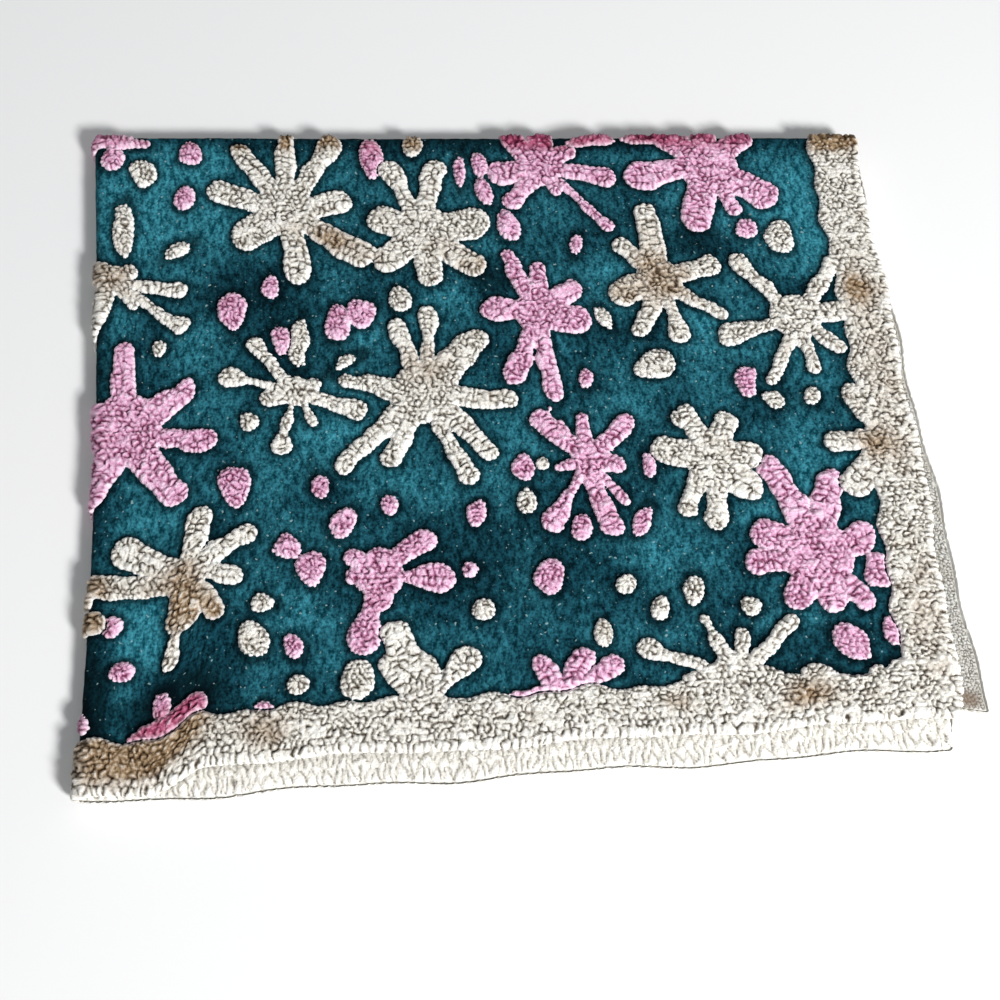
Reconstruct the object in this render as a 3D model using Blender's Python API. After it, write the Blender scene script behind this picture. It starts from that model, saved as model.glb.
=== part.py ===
"""A throw blanket, folded in quarters and lying flat.

The cloth is one knitted sheet with a low ground and raised pile: a border all
round and flowers and spots inside it. The open cloth is measured from the two
fold lines: "across" runs from the left fold and "down" from the far fold.
Positive across and positive down is the layer that faces up. Two folds, one
inside the other, lay the cloth in four layers. Units are metres, +Z is up.
"""

import math

import bpy
import bmesh
import numpy as np
from mathutils import Vector
from mathutils.geometry import delaunay_2d_cdt

# The open cloth, halved: from each fold line to the edge.
HALF_ACROSS = 0.760
HALF_DOWN = 0.635

# Thickness of the ground, and the pile on each of the four layers: full on the
# layer in view, and pressed down where layers meet or where the cloth rests.
GROUND = 0.0026
PILE = {"top": 0.0050, "second": 0.0030, "third": 0.0030, "bottom": 0.0025}
BACK_GAP = 0.0015
FACE_GAP = 0.0020

# The middle of the cloth bends round these two radii.
INNER_BEND = (GROUND + BACK_GAP) / 2
OUTER_BEND = INNER_BEND + (GROUND + PILE["second"] + PILE["third"] + FACE_GAP) / 2
REST_HEIGHT = PILE["bottom"] + GROUND / 2
FOLD_HEIGHT = REST_HEIGHT + OUTER_BEND + INNER_BEND
LEFT_ROLL = OUTER_BEND + INNER_BEND + GROUND / 2 + PILE["top"]
FAR_ROLL = INNER_BEND + GROUND / 2 + PILE["top"]

# The folded outline: the far fold is straight and the left fold leans in.
FAR_EDGE = 0.642
LEFT_LEAN = 0.042

# Each layer's own edges. The reach is from the left fold to the right edge,
# at the far end and at the near end. The near edge lies at near_left and
# near_right, and near_step draws it back beyond the corner.
LAYERS = {
    # name      far_reach  near_reach  near_left  near_right  near_step
    "top":     (0.756,     0.763,      -0.014,    0.034,      0.024),
    "second":  (0.756,     0.789,      -0.012,    0.042,      0.024),
    "third":   (0.750,     0.755,      -0.012,    0.036,      0.000),
    "bottom":  (0.750,     0.757,      -0.014,    0.034,      0.000),
}
STEP_FROM, STEP_TO = 0.08, 0.15

# Slow waves, the hollow by the near left corner and the sag of the layer that
# sticks out at the right, all as shares of the height above the table.
WAVE = 0.05
HOLLOW_AT = (0.105, 0.075)
HOLLOW_SIZE = (0.070, 0.050)
HOLLOW_DEPTH = 0.24
SAG_WIDTH = 0.045
SAG_DEPTH = 0.92

# The border, and how steeply pile rises from the ground.
BORDER = 0.046
SCALLOP = 0.004
RISE = 0.0030
EDGE_ROUND = 0.0050

# Flowers: centre, number of petals, their length, half the width of a petal's
# round end, half the width of its neck, and the turn of the first petal.
FLOWERS = (
    # colour  across   down   petals  reach  end     neck    turn
    ("cream", 0.196,  0.086,  8,      0.080, 0.0125, 0.0115, 8),
    ("cream", 0.335,  0.122,  8,      0.072, 0.0140, 0.0125, 30),
    ("cream", 0.024,  0.184,  7,      0.066, 0.0085, 0.0060, 18),
    ("cream", 0.200,  0.283,  8,      0.070, 0.0085, 0.0060, 2),
    ("cream", 0.326,  0.294,  9,      0.092, 0.0120, 0.0115, 24),
    ("cream", 0.546,  0.172,  7,      0.080, 0.0120, 0.0115, 22),
    ("cream", 0.662,  0.225,  8,      0.072, 0.0090, 0.0080, 44),
    ("cream", 0.566,  0.367,  7,      0.062, 0.0130, 0.0120, 12),
    ("cream", 0.090,  0.452,  7,      0.076, 0.0115, 0.0105, 30),
    ("cream", 0.315,  0.600,  5,      0.088, 0.0130, 0.0085, 62),
    ("cream", 0.558,  0.590,  7,      0.072, 0.0085, 0.0070, 24),
    ("cream", 0.750,  0.358,  9,      0.066, 0.0120, 0.0100, 166),
    ("pink",  0.026,  0.304,  7,      0.084, 0.0150, 0.0140, 8),
    ("pink",  0.462,  0.036,  8,      0.070, 0.0110, 0.0080, 20),
    ("pink",  0.618,  0.022,  8,      0.080, 0.0140, 0.0115, 38),
    ("pink",  0.428,  0.214,  7,      0.066, 0.0120, 0.0105, 38),
    ("pink",  0.456,  0.359,  9,      0.060, 0.0090, 0.0065, 30),
    ("pink",  0.272,  0.470,  6,      0.070, 0.0125, 0.0095, 52),
    ("pink",  0.655,  0.474,  9,      0.078, 0.0145, 0.0125, 12),
    ("pink",  0.430,  0.598,  5,      0.064, 0.0105, 0.0085, 52),
    ("pink",  -0.380, 0.310,  7,      0.090, 0.0140, 0.0120, 15),
    ("cream", -0.150, 0.120,  7,      0.084, 0.0130, 0.0110, 35),
    ("pink",  -0.560, 0.110,  6,      0.080, 0.0125, 0.0100, 10),
    ("cream", -0.610, 0.440,  7,      0.086, 0.0120, 0.0105, 25),
    ("cream", -0.170, 0.500,  6,      0.082, 0.0135, 0.0110, 40),
    ("pink",  -0.360, 0.060,  5,      0.070, 0.0120, 0.0095, 50),
)

# The larger spots of pile between the flowers: centre and half sizes.
SPOTS = (
    # colour  across   down   half_across  half_down
    ("pink",  0.105,  0.022,  0.011,  0.012),
    ("pink",  0.277,  0.027,  0.012,  0.022),
    ("pink",  0.134,  0.198,  0.014,  0.020),
    ("pink",  0.236,  0.214,  0.013,  0.018),
    ("pink",  0.610,  0.286,  0.010,  0.014),
    ("pink",  0.135,  0.379,  0.014,  0.019),
    ("pink",  0.187,  0.439,  0.013,  0.012),
    ("pink",  0.208,  0.466,  0.013,  0.015),
    ("pink",  0.417,  0.484,  0.015,  0.016),
    ("cream", 0.058,  0.042,  0.012,  0.014),
    ("cream", 0.040,  0.092,  0.011,  0.022),
    ("cream", 0.078,  0.128,  0.015,  0.010),
    ("cream", 0.673,  0.126,  0.013,  0.018),
    ("cream", 0.529,  0.266,  0.020,  0.015),
    ("cream", 0.152,  0.530,  0.013,  0.018),
    ("cream", 0.244,  0.572,  0.016,  0.018),
)

# How finely the cloth is divided, and the reach of the slope measurement.
STEP = 0.058
BEND_STEPS = 4
OUTLINE_STEP = 0.022
SEAM = 0.0010
SLOPE_PROBE = 0.0004

# Base colour and roughness of the ground and of the two piles.
YARNS = {
    "ground": ((0.010, 0.075, 0.100, 1.0), 0.95),
    "cream": ((0.620, 0.570, 0.480, 1.0), 1.00),
    "pink": ((0.620, 0.300, 0.450, 1.0), 1.00),
}


def smooth(value, start, stop):
    """Ease from 0 at start to 1 at stop, flat at both ends."""
    share = np.clip((value - start) / (stop - start), 0.0, 1.0)
    return share * share * (3.0 - 2.0 * share)


# Folding -----------------------------------------------------------------


def bend(distance, radius, height):
    """Carry a strip round half a turn.

    The distance runs along the strip from the crest of the fold, and the height
    is measured above its middle. Positive distances end up on top. Gives how far
    the point lies from the fold's axis, and how far above it.
    """
    quarter = radius * math.pi / 2
    angle = np.clip(distance, -quarter, quarter) / radius
    past = np.maximum(np.abs(distance) - quarter, 0.0)
    along = past - (radius + height) * np.cos(angle)
    up = (radius + height) * np.sin(angle)
    return along, up


def by_layer(across, down, top, second, third, bottom):
    """Pick each point's value by the layer that it lies in."""
    right = np.where(down >= 0, top, second)
    left = np.where(down >= 0, bottom, third)
    return np.where(across >= 0, right, left)


def left_edge(y):
    """The folded outline's left side, which leans in towards the near end."""
    nearness = np.clip(1.0 - y / FAR_EDGE, 0.0, 1.0)
    return LEFT_LEAN * np.sin(nearness * math.pi / 2)


def height_share(x, y):
    """How high the stack stands at a place, as a share of its plain height."""
    waves = np.sin(9.0 * x + 3.0 * y) * np.cos(11.0 * y - 4.0 * x + 0.6)
    off_x = (x - HOLLOW_AT[0]) / HOLLOW_SIZE[0]
    off_y = (y - HOLLOW_AT[1]) / HOLLOW_SIZE[1]
    hollow = np.exp(-off_x * off_x - off_y * off_y)
    support = left_edge(y) + LAYERS["third"][1]
    sag = smooth(x, support, support + SAG_WIDTH)
    return (1.0 + WAVE * waves - HOLLOW_DEPTH * hollow) * (1.0 - SAG_DEPTH * sag)


def middle_of_cloth(across, down):
    """Where a point in the middle of the open cloth lies once it is folded."""
    side = np.abs(across) / HALF_ACROSS
    depth = np.abs(down) / HALF_DOWN
    columns = zip(*LAYERS.values())
    far_reach, near_reach, near_left, near_right, near_step = (
        by_layer(across, down, *column) for column in columns
    )

    wavy_right = 0.0025 * np.sin(75.0 * down + 1.0) + 0.0020 * np.sin(31.0 * down + 2.0)
    reach = far_reach + (near_reach - far_reach) * depth**2 + wavy_right * side**7
    wavy_near = 0.0025 * np.sin(62.0 * across) + 0.0020 * np.sin(28.0 * across + 1.3)
    near = near_left + (near_right - near_left) * side + wavy_near * depth**7
    near = near + near_step * smooth(side, STEP_FROM, STEP_TO)

    run_down = depth * (FAR_EDGE - near - FAR_ROLL + INNER_BEND * math.pi / 2)
    back, rise = bend(np.copysign(run_down, down), INNER_BEND, 0.0)
    y = FAR_EDGE - FAR_ROLL - back

    run_across = side * (reach - LEFT_ROLL + OUTER_BEND * math.pi / 2)
    out, up = bend(np.copysign(run_across, across), OUTER_BEND, rise)
    x = left_edge(y) + LEFT_ROLL + out

    above_rest = FOLD_HEIGHT + up - REST_HEIGHT
    z = REST_HEIGHT + above_rest * height_share(x, y)
    return np.stack((x, y, z), axis=-1)


def folded(across, down, lift):
    """A point lifted off the cloth's middle, square to it, on the face side."""
    right = middle_of_cloth(across + SLOPE_PROBE, down)
    left = middle_of_cloth(across - SLOPE_PROBE, down)
    nearer = middle_of_cloth(across, down + SLOPE_PROBE)
    farther = middle_of_cloth(across, down - SLOPE_PROBE)
    normal = np.cross(nearer - farther, right - left)
    normal /= np.linalg.norm(normal, axis=-1, keepdims=True)
    return middle_of_cloth(across, down) + lift[:, None] * normal


# Pile --------------------------------------------------------------------


def petals(flower):
    """Direction, length and width of each petal, a little uneven."""
    _, across, down, count, reach, end, _, turn = flower
    for step in range(count):
        long_or_short = math.sin(2.4 * step + 17.0 * across + 29.0 * down)
        left_or_right = math.cos(1.9 * step + 23.0 * across - 11.0 * down)
        direction = turn + 360.0 * step / count + 8.0 * left_or_right
        length = reach * (0.86 + 0.16 * long_or_short)
        width = end * (1.0 + 0.14 * left_or_right)
        yield math.radians(direction), length, width


def petal_distance(across, down, flower, petal):
    """Distance to a petal's outline, negative inside it.

    A petal is a straight stroke that widens from its neck to a round end.
    """
    direction, length, end = petal
    off_across = across - flower[1]
    off_far = flower[2] - down
    along = off_across * math.cos(direction) + off_far * math.sin(direction)
    beside = off_far * math.cos(direction) - off_across * math.sin(direction)
    on_stroke = np.clip(along, 0.0, length - end)
    width = flower[6] + (end - flower[6]) * smooth(on_stroke, 0.4 * length, length - end)
    return np.hypot(along - on_stroke, beside) - width


def spot_distance(across, down, spot):
    """Distance to an oval spot's outline, nearly, and negative inside it."""
    _, middle_across, middle_down, half_across, half_down = spot
    ratio = np.hypot((across - middle_across) / half_across, (down - middle_down) / half_down)
    return (ratio - 1.0) * min(half_across, half_down)


def border_width(along):
    """The border's width, whose inner edge is scalloped."""
    return BORDER + SCALLOP * np.sin(110.0 * along) * np.sin(37.0 * along + 0.7)


def border_distance(across, down):
    """Distance to the border's inner edge, negative on the border."""
    to_side = HALF_ACROSS - np.abs(across) - border_width(down)
    to_end = HALF_DOWN - np.abs(down) - border_width(across)
    return np.minimum(to_side, to_end)


def pile_distance(across, down, colour):
    """Distance to the nearest outline of one colour's pile."""
    nearest = border_distance(across, down) if colour == "cream" else np.full_like(across, 1.0)
    for flower in FLOWERS:
        if flower[0] == colour:
            for petal in petals(flower):
                nearest = np.minimum(nearest, petal_distance(across, down, flower, petal))
    for spot in SPOTS:
        if spot[0] == colour:
            nearest = np.minimum(nearest, spot_distance(across, down, spot))
    return nearest


def any_pile_distance(across, down):
    """Distance to the nearest outline of any pile."""
    cream = pile_distance(across, down, "cream")
    return np.minimum(cream, pile_distance(across, down, "pink"))


def face_lift(across, down):
    """Height of the face above the cloth's middle: ground, or ground and pile."""
    quarter = OUTER_BEND * math.pi / 2
    to_right = smooth(across, -quarter, 0.0)
    to_upper = smooth(down, -INNER_BEND * math.pi / 2, 0.0)
    near_side = PILE["bottom"] + (PILE["top"] - PILE["bottom"]) * to_right
    far_side = PILE["third"] + (PILE["second"] - PILE["third"]) * to_right
    pile = far_side + (near_side - far_side) * to_upper

    inside = -any_pile_distance(across, down)
    raised = np.clip((inside - 0.1 * RISE) / (0.7 * RISE), 0.0, 1.0)
    to_edge = np.minimum(HALF_ACROSS - np.abs(across), HALF_DOWN - np.abs(down))
    rounding = 0.45 + 0.55 * smooth(to_edge, 0.0, EDGE_ROUND)
    return GROUND / 2 + pile * raised * rounding


# Outlines on the open cloth ----------------------------------------------


def flower_outline(flower, inset):
    """Five points for each petal: its valley, two shoulders and a blunt tip."""
    around = sorted(petals(flower))
    for index, (direction, length, end) in enumerate(around):
        previous = around[index - 1][0] - (2 * math.pi if index == 0 else 0.0)
        half_gap = (direction - previous) / 2
        valley = min((flower[6] - inset) / math.sin(half_gap), 0.7 * length)
        half = end - inset
        yield polar(flower, direction - half_gap, valley, 0.0)
        yield polar(flower, direction, length - end, -half)
        yield polar(flower, direction, length - end + 0.83 * half, -0.55 * half)
        yield polar(flower, direction, length - end + 0.83 * half, 0.55 * half)
        yield polar(flower, direction, length - end, half)


def polar(flower, direction, along, beside):
    """A point of the open cloth, from a flower's centre and a direction."""
    off_across = along * math.cos(direction) - beside * math.sin(direction)
    off_far = along * math.sin(direction) + beside * math.cos(direction)
    return flower[1] + off_across, flower[2] - off_far


def spot_outline(spot, inset):
    """Seven points round a spot."""
    _, across, down, half_across, half_down = spot
    for step in range(7):
        angle = 2 * math.pi * step / 7
        yield (
            across + (half_across - inset) * math.cos(angle),
            down + (half_down - inset) * math.sin(angle),
        )


def border_outline(inset):
    """The border's inner edge, once round the cloth."""
    width = BORDER - inset
    corners = ((1, -1), (1, 1), (-1, 1), (-1, -1))
    for (sign_a, sign_d), (next_a, next_d) in zip(corners, corners[1:] + corners[:1]):
        start = np.array((sign_a * (HALF_ACROSS - width), sign_d * (HALF_DOWN - width)))
        stop = np.array((next_a * (HALF_ACROSS - width), next_d * (HALF_DOWN - width)))
        pieces = round(np.linalg.norm(stop - start) / OUTLINE_STEP)
        for piece in range(pieces):
            across, down = start + (stop - start) * piece / pieces
            if piece and sign_a == next_a:
                across = sign_a * (HALF_ACROSS - border_width(down) + inset)
            elif piece:
                down = sign_d * (HALF_DOWN - border_width(across) + inset)
            yield across, down


def stations(half, radius):
    """Places of the dividing lines from one edge of the cloth to the other."""
    quarter = radius * math.pi / 2
    ring = half - EDGE_ROUND
    steps = round((ring - quarter) / STEP)
    outward = np.linspace(quarter, ring, steps + 1)
    round_the_fold = np.linspace(0.0, quarter, BEND_STEPS + 1)[:-1]
    positive = np.concatenate((round_the_fold, outward, (half,)))
    return np.concatenate((-positive[:0:-1], positive))


# Making the solid --------------------------------------------------------


def rim(across_stations, down_stations):
    """The points of the cloth's edge, once round."""
    near = [(across, HALF_DOWN) for across in across_stations[:-1]]
    right = [(HALF_ACROSS, down) for down in down_stations[:0:-1]]
    far = [(across, -HALF_DOWN) for across in across_stations[:0:-1]]
    left = [(-HALF_ACROSS, down) for down in down_stations[:-1]]
    return near + right + far + left


def grid_lines(across_stations, down_stations):
    """Points where the dividing lines cross, and the lines inside the bends."""
    rows = len(down_stations)
    points = [(across, down) for across in across_stations for down in down_stations]
    lines = []
    for column, across in enumerate(across_stations):
        if abs(across) < OUTER_BEND * 1.6:
            lines += [(column * rows + row, column * rows + row + 1) for row in range(rows - 1)]
    for row, down in enumerate(down_stations):
        if abs(down) < INNER_BEND * 1.6:
            columns = range(len(across_stations) - 1)
            lines += [(column * rows + row, (column + 1) * rows + row) for column in columns]
    return points, lines


def clear_of_outlines(point):
    """Whether a dividing point is far enough from a pile's slope to be kept."""
    across, down = point
    if abs(across) < OUTER_BEND * 1.6 or abs(down) < INNER_BEND * 1.6:
        return True
    if HALF_ACROSS - abs(across) < 2 * EDGE_ROUND or HALF_DOWN - abs(down) < 2 * EDGE_ROUND:
        return True
    distance = float(any_pile_distance(np.array([across]), np.array([down]))[0])
    return not -RISE - 0.006 < distance < 0.006


def outline_loops():
    """Every pile outline, at the foot of its slope and at the top."""
    for inset in (0.0, RISE):
        yield list(border_outline(inset)), inset
        for flower in FLOWERS:
            yield list(flower_outline(flower, inset)), inset
        for spot in SPOTS:
            yield list(spot_outline(spot, inset)), inset


def cut_short(shown_end, hidden_end, inset):
    """The last point of an outline before it runs into other pile."""
    shown_end, hidden_end = np.array(shown_end), np.array(hidden_end)
    for _ in range(10):
        middle = (shown_end + hidden_end) / 2
        if any_pile_distance(middle[:1], middle[1:])[0] > -inset - SEAM:
            shown_end = middle
        else:
            hidden_end = middle
    return tuple(shown_end)


def add_outlines(points, lines):
    """Add the outlines' stretches, cut short where they run into other pile."""
    for loop, inset in outline_loops():
        places = np.array(loop)
        shown = any_pile_distance(places[:, 0], places[:, 1]) > -inset - SEAM
        for index, start in enumerate(loop):
            following = (index + 1) % len(loop)
            stop = loop[following]
            if not shown[index] and not shown[following]:
                continue
            if not shown[following]:
                stop = cut_short(start, stop, inset)
            if not shown[index]:
                start = cut_short(stop, start, inset)
            lines.append((len(points), len(points) + 1))
            points += [start, stop]


def triangles(points, lines):
    """Triangulate the open cloth between its points and lines."""
    kept = [index for index, point in enumerate(points) if point is not None]
    renumber = {old: new for new, old in enumerate(kept)}
    places = [Vector(points[index]) for index in kept]
    edges = [(renumber[a], renumber[b]) for a, b in lines if a in renumber and b in renumber]
    places, _, faces, *_ = delaunay_2d_cdt(places, edges, [], 0, 1e-5)
    return np.array([tuple(place) for place in places]), faces


def face_side(across_stations, down_stations):
    """Divide the cloth's face along its bends and round its raised pile."""
    points, lines = grid_lines(across_stations, down_stations)
    points = [point if clear_of_outlines(point) else None for point in points]
    add_outlines(points, lines)
    return triangles(points, lines)


def back_side(across_stations, down_stations):
    """Divide the cloth's plain back."""
    points, lines = grid_lines(across_stations, down_stations)
    return triangles(points, lines)


def rim_indices(places, rim_points):
    """The numbers of the rim's points among the triangulated ones."""
    lookup = {(round(x, 4), round(y, 4)): index for index, (x, y) in enumerate(places)}
    return [lookup[(round(x, 4), round(y, 4))] for x, y in rim_points]


def rim_bulge(rim_points):
    """The cloth's rounded edge, a little outside the rim and below its pile."""
    places = np.array(rim_points)
    outward = np.sign(places) * (np.abs(places) > np.array((HALF_ACROSS, HALF_DOWN)) - 1e-6)
    places = places + 0.0015 * outward
    return folded(places[:, 0], places[:, 1], np.full(len(places), 0.0004))


def closed_cloth():
    """Join face, edge and back into one closed mesh."""
    across_stations = stations(HALF_ACROSS, OUTER_BEND)
    down_stations = stations(HALF_DOWN, INNER_BEND)
    face_places, face_triangles = face_side(across_stations, down_stations)
    back_places, back_triangles = back_side(across_stations, down_stations)
    rim_points = rim(across_stations, down_stations)

    face = folded(face_places[:, 0], face_places[:, 1], face_lift(*face_places.T))
    back = folded(back_places[:, 0], back_places[:, 1], np.full(len(back_places), -GROUND / 2))
    points = np.concatenate((face, rim_bulge(rim_points), back))
    bulge_start = len(face)
    back_start = bulge_start + len(rim_points)

    faces = [tuple(triangle) for triangle in face_triangles]
    faces += [tuple(back_start + index for index in triangle[::-1]) for triangle in back_triangles]
    upper = rim_indices(face_places, rim_points)
    lower = [back_start + index for index in rim_indices(back_places, rim_points)]
    for index in range(len(rim_points)):
        following = (index + 1) % len(rim_points)
        bulge, next_bulge = bulge_start + index, bulge_start + following
        faces.append((upper[index], bulge, next_bulge, upper[following]))
        faces.append((bulge, lower[index], lower[following], next_bulge))
    return centred(points), faces, face_colours(face_places, face_triangles, len(faces))


def face_colours(places, face_triangles, total):
    """The yarn of each triangle: pile by its colour, and ground elsewhere."""
    middle = places[np.array(face_triangles)].mean(axis=1)
    cream = pile_distance(middle[:, 0], middle[:, 1], "cream")
    pink = pile_distance(middle[:, 0], middle[:, 1], "pink")
    yarn = np.where(np.minimum(cream, pink) > -0.2 * RISE, 0, np.where(cream < pink, 1, 2))
    return np.concatenate((yarn, np.ones(total - len(yarn), dtype=int)))


def centred(points):
    """Put the folded throw over the origin."""
    middle = (points.min(axis=0) + points.max(axis=0)) / 2
    return points - np.array((middle[0], middle[1], 0.0))


def yarn_material(name):
    """A plain rough finish in a yarn's colour."""
    colour, roughness = YARNS[name]
    material = bpy.data.materials.new("yarn_" + name)
    material.use_nodes = True
    shader = material.node_tree.nodes["Principled BSDF"]
    shader.inputs["Base Color"].default_value = colour
    shader.inputs["Roughness"].default_value = roughness
    return material


def build():
    """Make the folded throw as one object."""
    points, faces, colours = closed_cloth()
    mesh = bpy.data.meshes.new("throw_cloth")
    mesh.from_pydata(points.tolist(), [], faces)
    for name in YARNS:
        mesh.materials.append(yarn_material(name))
    mesh.polygons.foreach_set("material_index", colours.astype(np.int32))

    work = bmesh.new()
    work.from_mesh(mesh)
    bmesh.ops.triangulate(work, faces=work.faces)
    bmesh.ops.recalc_face_normals(work, faces=work.faces)
    work.to_mesh(mesh)
    work.free()

    throw = bpy.data.objects.new("throw_cloth", mesh)
    bpy.context.scene.collection.objects.link(throw)


for old in list(bpy.data.objects):
    bpy.data.objects.remove(old)
build()
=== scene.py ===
# %% [markdown]
# # A fleece throw with raised flowers, folded in quarters
#
# The throw is one sheet of knitted fleece. Its ground is short and dark, and
# cream and pink yarn stands out of it in thick curls: a border all round,
# splashy flowers, and spots between them. It is folded twice, and it lies flat.
#
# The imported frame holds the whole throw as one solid, with its folds and the
# raised places. This script stands a finer cloth in the same place: a thin
# folded sheet, a brushed face over the part in view, and the thick pile as a
# lumpy skin.

# %% The frame
import math

import bpy
import numpy as np
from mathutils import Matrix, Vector


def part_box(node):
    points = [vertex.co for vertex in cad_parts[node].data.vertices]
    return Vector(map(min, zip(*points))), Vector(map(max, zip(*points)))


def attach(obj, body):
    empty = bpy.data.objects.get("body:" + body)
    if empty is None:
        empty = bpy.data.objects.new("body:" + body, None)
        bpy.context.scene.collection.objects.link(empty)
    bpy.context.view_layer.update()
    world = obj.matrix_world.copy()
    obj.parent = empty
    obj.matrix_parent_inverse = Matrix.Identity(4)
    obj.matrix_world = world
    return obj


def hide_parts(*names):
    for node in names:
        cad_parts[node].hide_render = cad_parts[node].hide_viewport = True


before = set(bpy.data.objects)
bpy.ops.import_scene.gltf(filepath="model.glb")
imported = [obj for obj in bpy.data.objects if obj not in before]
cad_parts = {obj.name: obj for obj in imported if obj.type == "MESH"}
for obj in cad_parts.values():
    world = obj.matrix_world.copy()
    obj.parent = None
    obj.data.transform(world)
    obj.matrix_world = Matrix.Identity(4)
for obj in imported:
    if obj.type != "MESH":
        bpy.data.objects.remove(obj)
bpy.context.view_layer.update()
CLOTH_LOW, CLOTH_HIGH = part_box("throw_cloth")

# %% [markdown]
# ## Camera and light
#
# A flat thing is best seen from well above. The camera stands in front of the
# throw and looks down on it steeply, with a moderately long lens, so the near
# side looks a little wider than the far one.
#
# Pile shows by its shadows. One lamp at the near right throws short shadows to
# the far left of every flower. A paler one overhead and a bright room fill them
# in, so that nothing goes black.

# %% Camera
VIEW_ANGLE = math.radians(70)
VIEW_DISTANCE = 1.353
VIEW_CENTRE = (-0.011, -0.0596, 0.026)
LENS = 54
SENSOR = 36


def new_object(name, data):
    """An object at the origin, linked into the scene."""
    thing = bpy.data.objects.new(name, data)
    bpy.context.scene.collection.objects.link(thing)
    return thing


def turned_to(thing, target):
    """Turn a lamp or camera, which looks along its own -Z, towards a place."""
    away = thing.location - Vector(target)
    thing.rotation_euler = away.to_track_quat("Z", "Y").to_euler()


def make_camera():
    """A camera on the line that rises from the view's centre."""
    data = bpy.data.cameras.new("camera")
    data.lens = LENS
    data.sensor_width = SENSOR
    camera = new_object("camera", data)
    back = Vector((0, -math.cos(VIEW_ANGLE), math.sin(VIEW_ANGLE)))
    camera.location = Vector(VIEW_CENTRE) + VIEW_DISTANCE * back
    turned_to(camera, VIEW_CENTRE)
    return camera


bpy.context.scene.camera = make_camera()
print("camera at", [round(value, 3) for value in bpy.context.scene.camera.location])

# %% Lamps and room
LAMPS = (
    # name      place                  size   power
    ("key",     (2.60, -2.80, 2.90),   0.90,  300),
    ("over",    (-0.50, 0.60, 1.90),   1.60,  4),
)
ROOM_LIGHT = 0.24
ROOM_COLOUR = (0.95, 0.98, 1.0, 1)


def make_lamp(name, place, size, power):
    """A square soft lamp that faces the throw."""
    data = bpy.data.lights.new(name, "AREA")
    data.size = size
    data.energy = power
    lamp = new_object(name, data)
    lamp.location = place
    turned_to(lamp, (0, 0, 0))


def make_room():
    """An even pale room round everything."""
    world = bpy.data.worlds.new("room")
    world.use_nodes = True
    light = world.node_tree.nodes["Background"]
    light.inputs["Color"].default_value = ROOM_COLOUR
    light.inputs["Strength"].default_value = ROOM_LIGHT
    bpy.context.scene.world = world


for lamp_row in LAMPS:
    make_lamp(*lamp_row)
make_room()
bpy.context.scene.view_settings.view_transform = "Standard"
print(len(LAMPS), "lamps and a room")

# %% [markdown]
# ## How the throw is folded
#
# The open cloth is measured from its two fold lines: `across` runs from the
# left fold and `down` from the far fold, both positive on the layer that faces
# up. First the cloth is bent over the far fold, which gives a height, and then
# that height is carried round the left fold, which is wider. One formula thus
# places any point of the cloth, and whatever is worked out on the open cloth is
# folded by it at once. A simulation would take longer and fit the frame less.
#
# Each layer ends a little differently at the right and near edges, as no one
# folds a throw exactly. The same named sizes made the frame's solid.

# %% Sizes of the cloth and its folds
HALF_ACROSS = 0.760
HALF_DOWN = 0.635
GROUND = 0.0026
PILE = {"top": 0.0050, "second": 0.0030, "third": 0.0030, "bottom": 0.0025}
BACK_GAP = 0.0015
FACE_GAP = 0.0020
INNER_BEND = (GROUND + BACK_GAP) / 2
OUTER_BEND = INNER_BEND + (GROUND + PILE["second"] + PILE["third"] + FACE_GAP) / 2
REST_HEIGHT = PILE["bottom"] + GROUND / 2
FOLD_HEIGHT = REST_HEIGHT + OUTER_BEND + INNER_BEND
LEFT_ROLL = OUTER_BEND + INNER_BEND + GROUND / 2 + PILE["top"]
FAR_ROLL = INNER_BEND + GROUND / 2 + PILE["top"]
FAR_EDGE = 0.642
LEFT_LEAN = 0.042
FAR_REACH, NEAR_REACH, NEAR_LEFT, NEAR_RIGHT, NEAR_STEP = range(5)
LAYERS = {
    # name      far_reach  near_reach  near_left  near_right  near_step
    "top":     (0.756,     0.763,      -0.014,    0.034,      0.024),
    "second":  (0.756,     0.789,      -0.012,    0.042,      0.024),
    "third":   (0.750,     0.755,      -0.012,    0.036,      0.000),
    "bottom":  (0.750,     0.757,      -0.014,    0.034,      0.000),
}
STEP_FROM, STEP_TO = 0.08, 0.15
RIGHT_WAVES = ((0.0012, 75.0, 1.0), (0.0020, 31.0, 2.0))
NEAR_WAVES = ((0.0010, 62.0, 0.0), (0.0020, 28.0, 1.3))
WAVES_FADE = 7
WAVE = 0.05
WAVE_LINES = ((9.0, 3.0), (-4.0, 11.0))
WAVE_START = 0.6
HOLLOW_AT = (0.105, 0.075)
HOLLOW_SIZE = (0.070, 0.050)
HOLLOW_DEPTH = 0.24
SAG_WIDTH = 0.045
SAG_DEPTH = 0.92
print("bend radii:", [round(1000 * radius, 2) for radius in (INNER_BEND, OUTER_BEND)], "mm")

# %% Easing and bending


def smooth(value, start, stop):
    """0 at start and 1 at stop, by the cubic 3t^2 - 2t^3 in between."""
    share = np.clip((value - start) / (stop - start), 0.0, 1.0)
    return share * share * (3.0 - 2.0 * share)


def bend(distance, radius, height):
    """Half a turn of a strip: along the arc the angle is distance over radius,
    and past a quarter turn either way the strip runs straight."""
    quarter = radius * math.pi / 2
    angle = np.clip(distance, -quarter, quarter) / radius
    past = np.maximum(np.abs(distance) - quarter, 0.0)
    return past - (radius + height) * np.cos(angle), (radius + height) * np.sin(angle)


print("half way the ease is", smooth(0.5, 0.0, 1.0))

# %% Edges and heights of the layers


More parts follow.
